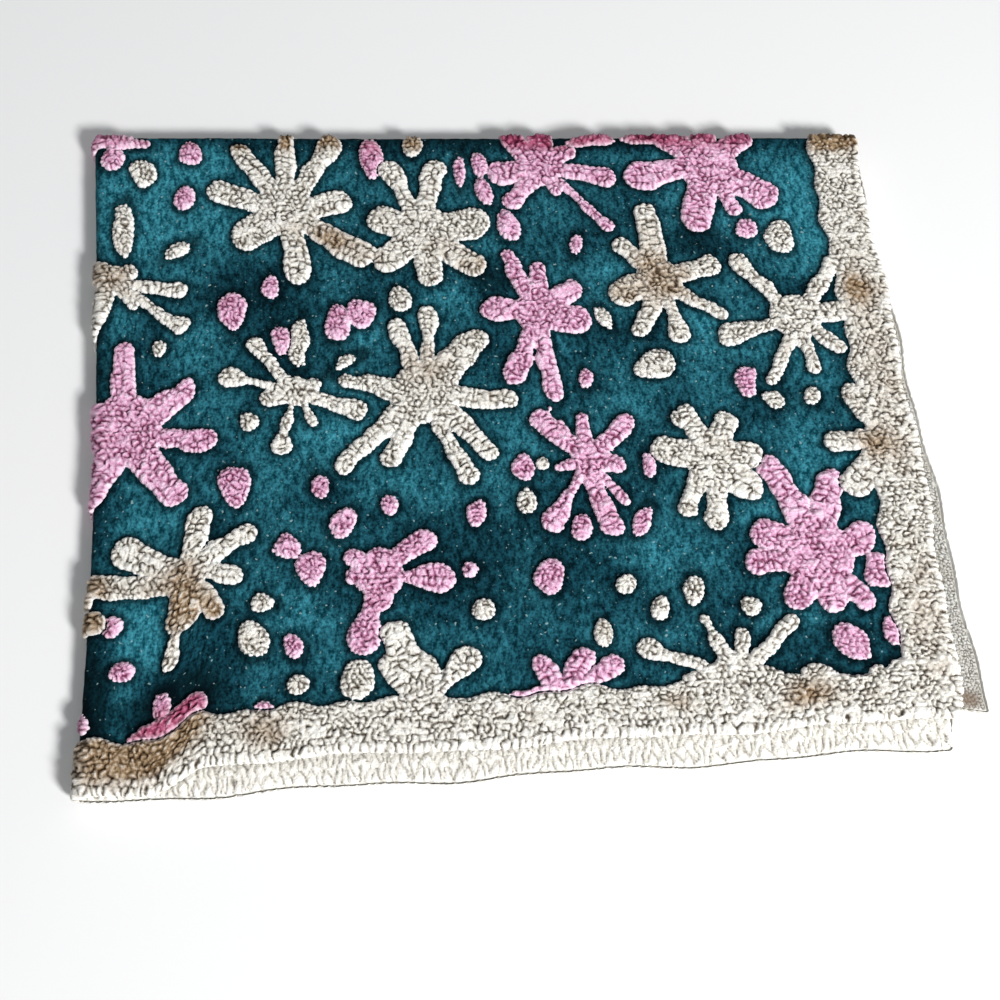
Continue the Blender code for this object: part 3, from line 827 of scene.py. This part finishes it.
def lumps(across, down, curls, pitch, fading=1.0):
    """How full the pile is at a place, 0 in a crease and 1 on a lump, by a
    straight line, and how each lump differs. A crease is the middle line between
    the nearest two curls, (second^2 - nearest^2) / (2 spacing) away, on a net
    that is bent. With fading, some creases are shallow and each comes and goes
    along its length, and between tall lumps the upright ones are the deepest."""
    places = bent_net(across, down)
    nearest, second, near, next_near = two_nearest(places, curls, pitch)
    apart = curls[nearest] - curls[second]
    spacing = np.maximum(np.linalg.norm(apart, axis=1), TINY)
    to_crease = (next_near - near) / (2 * spacing)
    full = np.clip(to_crease / (LUMP_ROUND * pitch), 0.0, 1.0)
    luck = np.random.default_rng(LUCK_SEED).uniform(0, 1, len(curls))
    shallow = SHALLOWEST * np.modf((luck[nearest] + luck[second]) * LUCK_SPREAD)[0] ** 2
    hills = clouds(across, down, CREASE_FADES, FADES_SEED)
    comes_and_goes = FADING_MOST * smooth(hills, FADES_FROM, FADES_TO)
    faint = 1 - (1 - shallow) * (1 - comes_and_goes)
    upright = np.abs(apart[:, 0]) / spacing
    faint = np.where(under_near(curls)[nearest], TALL_FAINT - TALL_UPRIGHT * upright, faint)
    return 1 - (1 - full) * (1 - fading * faint), luck[nearest]


print("mean fullness:", lumps(fold_line, fold_line, CURLS, PITCH)[0].mean().round(2))

# %% The outline of the pile
NOTCH = 0.0013
NEAR_OUTLINE = 0.005
SLOPE_STEP = 0.0003


def notched(away, across, down):
    """A distance to an outline that is drawn in by NOTCH at every crease."""
    close = np.abs(away) < NEAR_OUTLINE
    full, _ = lumps(across[close], down[close], CURLS, PITCH, 0.0)
    away[close] += NOTCH * (1 - full) ** 2
    return away


def outline_slope(distance, across, down):
    """Along which way and how fast the distance grows, by small steps."""
    step = SLOPE_STEP
    by_across = distance(across + step, down) - distance(across - step, down)
    by_down = distance(across, down + step) - distance(across, down - step)
    return np.stack((by_across, by_down), axis=1) / (2 * step)


print("a slope:", outline_slope(beyond_edge, fold_line[:1] + HALF_ACROSS, fold_line[:1]))

# %% Nets of squares


def corners_of(net):
    """The four corners of every square of a net, in turn round it."""
    return net[:-1, :-1], net[:-1, 1:], net[1:, 1:], net[1:, :-1]


def squares_of_net(number, kept=...):
    """A net's squares, or the kept ones, as the numbers of their corners."""
    return np.stack([corner[kept].ravel() for corner in corners_of(number)], axis=1)


def whole_net(columns, rows):
    """Where all columns and rows cross: across, down and the net of numbers."""
    across, down = np.meshgrid(columns, rows, indexing="ij")
    number = np.arange(across.size).reshape(across.shape)
    return across.ravel(), down.ravel(), number


def part_of_net(inside):
    """Which points belong to a square with a corner inside, and those squares,
    with the points numbered in order."""
    first, second, third, fourth = corners_of(inside)
    kept = first | second | third | fourth
    used = np.zeros(inside.shape, bool)
    for corner in corners_of(used):
        corner |= kept
    number = np.full(inside.shape, -1)
    number[used] = np.arange(used.sum())
    return used, squares_of_net(number, kept)


print("the one square of four points:", squares_of_net(np.arange(4).reshape(2, 2)))

# %% The pile's skin
WELL_INSIDE = 0.3
DRAWING_STEPS = 3
LEAST_STEEP = 0.5


def skin(distance, across_range, down_range, step):
    """The kept squares' corners on the open cloth, drawn in to the outline, the
    squares, and the stretches of the outline in order of their direction. To
    draw in is to go down the slope by the distance over the slope's square."""
    columns, rows = (
        step * np.arange(round(start / step), round(stop / step) + 1)
        for start, stop in (across_range, down_range)
    )
    across, down = np.meshgrid(columns, rows, indexing="ij")
    away = distance(across.ravel(), down.ravel()).reshape(across.shape)
    inside = away < -WELL_INSIDE * step
    used, squares = part_of_net(inside)
    flat = np.stack((across[used], down[used]), axis=1)
    drawn = ~inside[used]
    for _ in range(DRAWING_STEPS):
        slope = outline_slope(distance, *flat[drawn].T)
        steepness = np.maximum((slope * slope).sum(axis=1), LEAST_STEEP)
        move = distance(*flat[drawn].T) / steepness
        flat[drawn] -= np.clip(move, -step, step)[:, None] * slope

    sides = np.concatenate([squares[:, [k, (k + 1) % 4]] for k in range(4)])
    code = sides[:, 0] * len(flat) + sides[:, 1]
    mirror = sides[:, 1] * len(flat) + sides[:, 0]
    open_side = ~np.isin(code, mirror) & drawn[sides].all(axis=1)
    return flat, squares, sides[open_side]


# %% One piece of pile
CLOTH_MAP = "cloth"
EDGE_RADIUS = 0.0060
EDGE_RISE = 0.22
CREASE_DEPTH = 0.50
CRUMB_DEPTH = 0.24
UNEVEN_LUMPS = 0.30
FOOT_INSET = 0.0012
FOOT_DEPTH = 0.0004
RIM_REACH = 0.0030
RIM_INSET = 0.0002
RIM_DROOP = 0.0016
LEAST_SLOPE = 1e-9
CRUMB_SHADE = 0.38
RIM_SHADE = (0.3, 0.6)


def pile_piece(distance, across_range, down_range, step):
    """Points, faces and attributes of one skin with its turned-under edge. At
    the cloth's own edge the skin goes on down to the cloth's back."""
    flat, squares, rim = skin(distance, across_range, down_range, step)
    across, down = flat.T
    inside = np.maximum(-distance(across, down), 0.0)
    edge = np.sqrt(1 - (1 - np.clip(inside / EDGE_RADIUS, 0.0, 1.0)) ** 2)
    full, luck = lumps(across, down, CURLS, PITCH)
    crumb, _ = lumps(across, down, CRUMBS, CRUMB_PITCH)
    pressed = CREASE_DEPTH * (1 - full) ** 2 + CRUMB_DEPTH * (1 - crumb) ** 2
    height = pile_height(across, down) * (1 - UNEVEN_LUMPS * (1 - luck))
    rise = (EDGE_RISE + (1 - EDGE_RISE) * edge) * (1 - pressed)
    top = folded(across, down, GROUND / 2 + height * rise)

    on_rim = np.unique(rim)
    foot_number = np.full(len(flat), -1)
    foot_number[on_rim] = len(flat) + np.arange(len(on_rim))
    at_rim = beyond_edge(*flat[on_rim].T) > -RIM_REACH
    slope = outline_slope(distance, *flat[on_rim].T)
    slope /= np.maximum(np.linalg.norm(slope, axis=1, keepdims=True), LEAST_SLOPE)
    inset = np.where(at_rim, RIM_INSET, FOOT_INSET)
    foot_flat = flat[on_rim] - inset[:, None] * slope
    foot_lift = np.where(at_rim, -GROUND / 2 - RIM_DROOP, GROUND / 2 - FOOT_DEPTH)
    foot = folded(*foot_flat.T, foot_lift)
    begin, end = rim.T
    walls = np.stack((end, begin, foot_number[begin], foot_number[end]), axis=1)

    points = np.concatenate((top, foot)) - SHIFT
    points[:, 2] = np.maximum(points[:, 2], 0.0)
    # Painted shade: this share darkens the colour down into creases and crumbs, and the wall's
    # foot is painted dark, less so at the cloth's own edge.
    shade = full * (1 - CRUMB_SHADE + CRUMB_SHADE * crumb)
    foot_shade = np.where(at_rim, RIM_SHADE[0] + RIM_SHADE[1] * shade[on_rim], 0.0)
    # Painted highlight: motifs' rims, away from the cloth's edge, are painted paler.
    painted_rim_highlight = np.where(beyond_edge(across, down) < -EDGE_RADIUS, 1 - edge, 0.0)
    flat = np.concatenate((flat, foot_flat))
    shares = {
        "rise": np.concatenate((shade, foot_shade)),
        "tone": np.concatenate((luck, luck[on_rim])),
        "stain": blobs(STAINS_AND_PAINTED_SHADING, *flat.T),
        "rim": np.concatenate((painted_rim_highlight, np.zeros(len(foot)))),
    }
    return points, np.concatenate((squares, walls)).tolist(), flat, shares


def as_piece(name, points, faces, flat, shares, finishes):
    """A smooth mesh object at the origin. Its map "cloth" holds each corner's
    place on the open cloth, and its attributes hold one number for each point."""
    mesh = bpy.data.meshes.new(name)
    mesh.from_pydata(points.tolist(), [], faces)
    corner = np.zeros(len(mesh.loops), dtype=np.int32)
    mesh.loops.foreach_get("vertex_index", corner)
    cloth = mesh.uv_layers.new(name=CLOTH_MAP)
    cloth.data.foreach_set("uv", flat[corner].astype(np.float32).ravel())
    for label, values in shares.items():
        attribute = mesh.attributes.new(label, "FLOAT", "POINT")
        attribute.data.foreach_set("value", values.astype(np.float32))
    mesh.polygons.foreach_set("use_smooth", np.ones(len(mesh.polygons), dtype=bool))
    for finish in finishes:
        mesh.materials.append(finish)
    print(name, "has", sum(len(face) - 2 for face in faces), "triangles")
    return new_object(name, mesh)


# %% [markdown]
# ## Finishes
#
# A finish is a small network of nodes, which is hard to read node by node. So it
# is written as sums here: a `Strand` stands for one output of a node, and adding
# or multiplying strands adds the node that does it. Every other node comes from
# `Dyebath.add`.
#
# Patterns that belong to the yarn read the map "cloth", which is the place on
# the open cloth in metres, so they run on round the folds.

# %% Writing a finish as sums


class Strand:
    """One output of a node, which can be added to, multiplied and so on."""

    def __init__(self, bath, socket):
        self.bath = bath
        self.socket = socket

    def maths(self, operation, *values):
        return self.bath.add("ShaderNodeMath", {"operation": operation}, dict(enumerate(values)))

    def __add__(self, other):
        return self.maths("ADD", self, other)

    def __sub__(self, other):
        return self.maths("SUBTRACT", self, other)

    def __rsub__(self, other):
        return self.maths("SUBTRACT", other, self)

    def __mul__(self, other):
        return self.maths("MULTIPLY", self, other)

    __radd__ = __add__
    __rmul__ = __mul__

    def eased(self, start, stop):
        """0 at start and 1 at stop, smooth in between and level outside."""
        settings = {"interpolation_type": "SMOOTHSTEP"}
        return self.bath.add("ShaderNodeMapRange", settings, {0: self, 1: start, 2: stop})


class Dyebath:
    """A material and its nodes."""

    def __init__(self, name, **constants):
        self.material = bpy.data.materials.new(name)
        self.material.use_nodes = True
        self.nodes = self.material.node_tree.nodes
        self.shader = self.nodes["Principled BSDF"]
        for socket, value in constants.items():
            self.shader.inputs[socket.replace("_", " ")].default_value = value

    def add(self, kind, settings=None, values=None, output=0):
        """A node of this kind: first its settings, then its sockets."""
        node = self.nodes.new(kind)
        for setting, value in (settings or {}).items():
            setattr(node, setting, value)
        for socket, value in (values or {}).items():
            if isinstance(value, Strand):
                self.material.node_tree.links.new(value.socket, node.inputs[socket])
            else:
                node.inputs[socket].default_value = value
        return Strand(self, node.outputs[output])

    def cloth_place(self, turn=0.0, stretch=(1, 1, 1)):
        """The place on the open cloth, turned and stretched."""
        place = self.add("ShaderNodeUVMap", {"uv_map": CLOTH_MAP})
        sockets = {"Vector": place, "Rotation": (0, 0, turn), "Scale": stretch}
        return self.add("ShaderNodeMapping", None, sockets)

    def noise(self, place, size, detail=2.0, rough=0.5):
        """Cloudy noise, whose clouds are about as large as size in metres."""
        sockets = {"Vector": place, "Scale": 1 / size, "Detail": detail, "Roughness": rough}
        return self.add("ShaderNodeTexNoise", None, sockets)

    def share(self, label):
        """A number that the mesh holds for each point."""
        return self.add("ShaderNodeAttribute", {"attribute_name": label}, output=2)

    def blended(self, share, first, second):
        """A colour from first, where share is 0, to second, where it is 1."""
        settings = {"data_type": "RGBA", "clamp_factor": True}
        return self.add("ShaderNodeMix", settings, {0: share, 6: first, 7: second}, output=2)

    def finish(self, colour, relief, depth):
        """Send the colour and the relief, depth metres high, to the shader."""
        links = self.material.node_tree.links
        sockets = {"Height": relief, "Distance": depth, "Strength": 1.0}
        bump = self.add("ShaderNodeBump", None, sockets)
        links.new(colour.socket, self.shader.inputs["Base Color"])
        links.new(bump.socket, self.shader.inputs["Normal"])
        return self.material


def dye(red, green, blue):
    """A screen colour, 0 to 255, as the linear colour that shaders use."""
    shares = [value / 255 for value in (red, green, blue)]
    linear = [((v + 0.055) / 1.055) ** 2.4 if v > 0.0405 else v / 12.92 for v in shares]
    return (*linear, 1.0)


print("mid grey is", [round(value, 3) for value in dye(128, 128, 128)])

# %% [markdown]
# ## The ground
#
# The ground is a close knit, brushed a little, in a deep teal. Up close it is
# never one colour: its loops lie in slanting streaks a few millimetres long, and
# pale lint sits on it. Farther off there are lighter and darker patches, a hand
# wide, at random. Over them light and shade are painted from a table of soft
# blobs: lighter where the ground is lit, darker along the folds, in the hollow
# and in shaded places by the flowers, and nearly black as painted shade beside
# the pile.

# %% Ground finish
CLOTH_RELIEF = 0.0012


def ground_finish():
    """Streaks and loops between a dark and a light teal, both deeper or paler
    from patch to patch and by painted light, then painted shade from the table,
    lint and a painted shade beside the pile."""
    bath = Dyebath("teal_knit", Roughness=0.95, Specular_IOR_Level=0.05)
    place = bath.cloth_place()
    streak = bath.noise(bath.cloth_place(0.65, (1.0, 0.5, 1.0)), 0.0048, 2.0, 0.6)
    loops = bath.noise(place, 0.0026, 2.0)
    patches = bath.noise(place, 0.070, 3.0, 0.6)
    lint = bath.noise(place, 0.0044, 1.0).eased(0.69, 0.75)
    nap = bath.share("nap")
    beside = bath.share("beside")
    mottle = (0.60 * streak + 0.40 * loops).eased(0.36, 0.70)
    # Painted light: the table's positive blobs push the colour towards the lighter teal.
    light_share = (patches + 0.45 * nap).eased(0.30, 0.78)
    dark = bath.blended(light_share, dye(0, 24, 32), dye(4, 66, 80))
    light = bath.blended(light_share, dye(28, 86, 102), dye(72, 160, 178))
    colour = bath.blended(mottle, dark, light)
    # Painted shade: nearly black where the table's blobs are negative.
    colour = bath.blended(nap.eased(0.0, -1.2) * 0.80, colour, dye(2, 18, 22))
    colour = bath.blended(lint * 0.6, colour, dye(156, 188, 188))
    # Painted shade: nearly black beside the pile, in a narrow ring and a wider, fainter one.
    colour = bath.blended(beside.eased(0.0, 0.95) * 0.80, colour, dye(0, 8, 13))
    return bath.finish(colour, 0.55 * streak + 0.45 * loops, CLOTH_RELIEF)


def back_finish():
    """Grey-white loops over gaps painted darker as shade, warmer here and there,
    and darker where the table of stains and painted shade says.
    """
    bath = Dyebath("pale_back", Roughness=0.95, Specular_IOR_Level=0.10)
    place = bath.cloth_place()
    grain = bath.noise(place, 0.0032, 2.0)
    loops = bath.noise(place, 0.0020, 2.0)
    rise = bath.share("rise") + 1.2 * (loops - 0.5)
    warm = bath.noise(place, 0.030, 2.0).eased(0.40, 0.70)
    light = bath.blended(warm * 0.6, dye(206, 205, 200), dye(186, 182, 172))
    # Painted shade: the gaps between the loops are painted darker.
    colour = bath.blended(rise.eased(0.05, 0.75), dye(100, 96, 88), light)
    stained_and_shaded = bath.share("stain").eased(0.1, 1.2) * 0.8
    colour = bath.blended(stained_and_shaded, colour, dye(112, 94, 78))
    return bath.finish(colour, 0.6 * grain + 0.4 * loops, CLOTH_RELIEF)


TEAL_KNIT = ground_finish()
PALE_BACK = back_finish()
print("finishes:", TEAL_KNIT.name, "and", PALE_BACK.name)

# %% The folded sheet
FINE_STEP = 0.0090
COARSE_STEP = 0.0105
STEPS_ROUND_A_FOLD = 12


def lines_across(half, radius):
    """Places of the sheet's lines: fine on the side in view, coarser on the
    other, and evenly round the fold between them."""
    quarter = radius * math.pi / 2
    seen = np.linspace(quarter, half, round((half - quarter) / FINE_STEP) + 1)
    unseen = np.linspace(-half, -quarter, round((half - quarter) / COARSE_STEP) + 1)
    turning = np.linspace(-quarter, quarter, STEPS_ROUND_A_FOLD + 1)[1:-1]
    return np.concatenate((unseen, turning, seen))


def folded_sheet():
    """Two grids half the ground's thickness off the middle, one on each side,
    joined along their rims into one closed sheet."""
    columns = lines_across(HALF_ACROSS, OUTER_BEND)
    rows = lines_across(HALF_DOWN, INNER_BEND)
    across, down, number = whole_net(columns, rows)
    face = folded(across, down, np.full(across.shape, GROUND / 2))
    back = folded(across, down, np.full(across.shape, -GROUND / 2))
    face_quads = squares_of_net(number)
    back_quads = face_quads[:, ::-1] + across.size
    rim = np.concatenate((number[:-1, -1], number[-1, :0:-1], number[:0:-1, 0], number[0, :-1]))
    after = np.roll(rim, -1)
    rim_quads = np.stack((rim, rim + across.size, after + across.size, after), axis=1)
    points = np.concatenate((face, back)) - SHIFT
    flat = np.tile(np.stack((across, down), axis=1), (2, 1))
    faces = np.concatenate((face_quads, back_quads, rim_quads)).tolist()
    return points, faces, flat, len(face_quads)


points, faces, flat, face_count = folded_sheet()
nothing = np.zeros(len(flat))
shares = {"nap": blobs(PAINTED_LIGHT_AND_SHADE, *flat.T), "rise": nothing + 1, "beside": nothing}
sheet = as_piece("folded_sheet", points, faces, flat, shares, (TEAL_KNIT, PALE_BACK))
is_back = np.arange(len(faces)) >= face_count
sheet.data.polygons.foreach_set("material_index", is_back.astype(np.int32))

# %% [markdown]
# ## The brushed face
#
# The face in view is brushed, and its brushed fibres are a thin skin of their
# own. Beside thick pile they are pressed down and get little light, so the skin
# dips there, and its colour is painted nearly black there as painted shade: the
# dark line round every flower. A net of small squares can hold that line, and
# the squares that would lie under the pile are left out.

# %% Brushed face
FACE_ACROSS = (-0.0120, 0.7220)
FACE_DOWN = (-0.0050, 0.6000)
FACE_STEP = 0.0022
FACE_LIFT = 0.0005
UNDER_PILE = -0.0045
BESIDE = 0.0034
ROUND_ABOUT = 0.0120
DIP_AND_SHADE_SHARE = 0.62
TRODDEN_DIP = 0.5
TUFT = (0.00030, 0.0052)
TUFT_SEED = 31


def brushed_face():
    """Squares over the face in view. Its height is a smooth random one, less a
    dip beside the pile. How near is said by two bell curves of the distance, a
    narrow one and a wide one, and the same nearness is painted as dark shade."""
    columns = np.arange(*FACE_ACROSS, FACE_STEP)
    rows = np.arange(*FACE_DOWN, FACE_STEP)
    across, down = np.meshgrid(columns, rows, indexing="ij")
    away = np.minimum(*(pile_distance(across, down, colour) for colour in ("cream", "pink")))
    used, squares = part_of_net(away > UNDER_PILE)
    flat = np.stack((across[used], down[used]), axis=1)
    beyond = np.maximum(away[used], 0.0)
    close_by, round_about = (np.exp(-((beyond / width) ** 2)) for width in (BESIDE, ROUND_ABOUT))
    beside = DIP_AND_SHADE_SHARE * close_by + (1 - DIP_AND_SHADE_SHARE) * round_about
    tufts = TUFT[0] * clouds(*flat.T, TUFT[1], TUFT_SEED)
    lift = GROUND / 2 + FACE_LIFT + tufts - TRODDEN_DIP * FACE_LIFT * beside
    # beside carries the painted shade by the pile to the ground's finish.
    shares = {"nap": blobs(PAINTED_LIGHT_AND_SHADE, *flat.T), "beside": beside}
    points = folded(*flat.T, lift) - SHIFT
    return as_piece("brushed_face", points, squares.tolist(), flat, shares, (TEAL_KNIT,))


face = brushed_face()

# %% [markdown]
# ## The pile
#
# Cream pile is painted lightest at the tips of the curls and warm brown down
# between them, which is painted shade in the creases, and here and there a patch
# is a little tanned, by wear or by its dye. Along the folds and at the near left
# it is painted darker as shade, and along the near edges paler as a painted
# highlight. Pink goes from nearly white tips to magenta creases, painted the same
# way, and every motif's rim is painted paler as a highlight.

# %% Pile finishes
PILE_RELIEF = 0.0015


def pile_finish(name, clean, stained_and_shaded, pale):
    """Crease, side and tip colours up the height of a curl, which paints shade
    into the creases; clean, or with stains and painted darker as shade, or painted
    paler as a highlight; paler or darker from curl to curl; paler at the rims as a
    painted highlight; over a crumbly relief."""
    bath = Dyebath(name, Roughness=1.0, Specular_IOR_Level=0.10)
    place = bath.cloth_place()
    crumbs = bath.noise(place, 0.0022, 3.0, 0.6)
    warm = bath.noise(place, 0.040, 2.0).eased(0.45, 0.75)
    stain = bath.share("stain")
    # Stains, and painted shade at the folds and the near left, with random warm patches.
    tan_and_shade = (stain + 0.35 * warm).eased(0.0, 1.1)
    # Painted highlight: paler curls along the near edges.
    painted_highlight = stain.eased(0.0, -1.0)
    rise = bath.share("rise") + 0.50 * (crumbs - 0.5)
    crease, side, tip = (bath.blended(tan_and_shade, *pair) for pair in zip(clean, stained_and_shaded))
    side = bath.blended(painted_highlight * 0.6, side, pale)
    tip = bath.blended(bath.share("tone") * 0.5, tip, pale)
    # Painted shade: from the side colour up to the lighter tip colour.
    colour = bath.blended(rise.eased(0.40, 0.90), side, tip)
    # Painted highlight on the motifs' rims.
    rim = bath.share("rim")
    colour = bath.blended(rim * 0.75, colour, pale)
    # Painted shade: crease colour down between the curls, less of it on the rims.
    colour = bath.blended(rise.eased(0.04, 0.56) + 0.50 * rim, crease, colour)
    return bath.finish(colour, crumbs, PILE_RELIEF)


CREAM_PILE = pile_finish(
    "cream_pile",
    (dye(76, 66, 54), dye(232, 228, 219), dye(248, 246, 240)),
    (dye(60, 42, 24), dye(156, 130, 100), dye(206, 186, 160)),
    dye(250, 250, 249),
)
PINK_PILE = pile_finish(
    "pink_pile",
    (dye(114, 44, 76), dye(227, 172, 204), dye(248, 212, 236)),
    (dye(80, 22, 44), dye(168, 76, 108), dye(202, 116, 150)),
    dye(252, 234, 246),
)
print("finishes:", CREAM_PILE.name, "and", PINK_PILE.name)

# %% Pieces of the pile
MARGIN = 0.004
EDGE_ACROSS = HALF_ACROSS + MARGIN
EDGE_DOWN = HALF_DOWN + MARGIN
PARTING = 0.400
PIECES = (
    # name             colour   across from, to         down from, to          step
    ("cream_left",     "cream", (-0.040, PARTING),      (-0.060, EDGE_DOWN),   0.00115),
    ("cream_right",    "cream", (PARTING, EDGE_ACROSS), (-0.060, EDGE_DOWN),   0.00115),
    ("pink_top",       "pink",  (-0.070, EDGE_ACROSS),  (-0.060, EDGE_DOWN),   0.00115),
    ("second_border",  "cream", (0.000, EDGE_ACROSS),   (-EDGE_DOWN, -0.060),  0.00260),
    ("third_border",   "cream", (-EDGE_ACROSS, 0.000),  (-EDGE_DOWN, 0.000),   0.00160),
    ("cream_under",    "cream", (-EDGE_ACROSS, -0.040), (0.000, EDGE_DOWN),    0.00240),
    ("pink_under",     "pink",  (-EDGE_ACROSS, -0.070), (0.000, EDGE_DOWN),    0.00240),
)
FINISHES = {"cream": CREAM_PILE, "pink": PINK_PILE}


def notched_distance(colour):
    """The distance to one colour's notched outline, as a function of the place."""

    def distance(across, down):
        return notched(pile_distance(across, down, colour), across, down)

    return distance


pile = []
for name, colour, *net in PIECES:
    made = pile_piece(notched_distance(colour), *net)
    pile.append(as_piece(name, *made, (FINISHES[colour],)))

# %% [markdown]
# ## The grainy back
#
# The second layer lies face down and reaches out past the top one at the right,
# so a band of the cloth's back shows there, grey-white and grainy with loops
# three or four millimetres long. It is a shallow skin laid on the sheet's back.

# %% Back grain
BAND_INSET = 0.0006
BAND_ACROSS = (0.700, HALF_ACROSS - BAND_INSET)
BAND_DOWN = (-HALF_DOWN + BAND_INSET, -0.020)
BAND_STEP = 0.00110
GRAIN_PITCH = 0.0034
GRAIN_HEIGHT = 0.0013
GRAIN_FADING = 0.3
GRAIN_EDGE = 0.0015
GRAIN_OFF = 0.00005


def back_grain():
    """A net over the band, whose height is that of small lumps, with nothing
    along its sides. Its squares face the other way, as the back does."""
    (left, right), (near, far) = BAND_ACROSS, BAND_DOWN
    columns = np.linspace(left, right, round((right - left) / BAND_STEP))
    rows = np.linspace(near, far, round((far - near) / BAND_STEP))
    across, down, number = whole_net(columns, rows)
    grains = shaken_rows(GRAIN_PITCH, GRAIN_PITCH * ROW_GAP)
    grains = grains[(grains[:, 0] > left - CLOTH_MARGIN / 2) & (grains[:, 1] < 0)]
    rise, _ = lumps(across, down, grains, GRAIN_PITCH, GRAIN_FADING)
    from_side = np.minimum(across - left, right - across)
    from_end = np.minimum(down - near, far - down)
    inner = smooth(np.minimum(from_side, from_end), 0.0, GRAIN_EDGE)
    lift = -GROUND / 2 - GRAIN_OFF - GRAIN_HEIGHT * (1 - (1 - rise) ** 2) * inner
    points = folded(across, down, lift) - SHIFT
    squares = squares_of_net(number)[:, (0, 3, 2, 1)].tolist()
    shares = {"rise": rise, "stain": blobs(STAINS_AND_PAINTED_SHADING, across, down)}
    flat = np.stack((across, down), axis=1)
    return as_piece("back_grain", points, squares, flat, shares, (PALE_BACK,))


grain = back_grain()

# %% [markdown]
# ## Floor
#
# A pale even floor lets the outline read and takes a soft shadow.

# %% Floor
FLOOR_SIDE = 12


def make_floor():
    """A wide square at the height where the throw rests."""
    half = FLOOR_SIDE / 2
    mesh = bpy.data.meshes.new("floor")
    corners = [(-half, -half, 0), (half, -half, 0), (half, half, 0), (-half, half, 0)]
    mesh.from_pydata(corners, [], [(0, 1, 2, 3)])
    paper = Dyebath("pale_floor", Base_Color=dye(240, 240, 240), Roughness=0.9)
    mesh.materials.append(paper.material)
    floor = new_object("floor", mesh)


make_floor()
print("the floor is", FLOOR_SIDE, "m wide")

# %% Handing the pieces to the frame
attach(sheet, "root")
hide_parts("throw_cloth")
for layer in (face, grain):
    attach(layer, "root")
for piece, row in zip(pile, PIECES):
    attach(piece, "root")
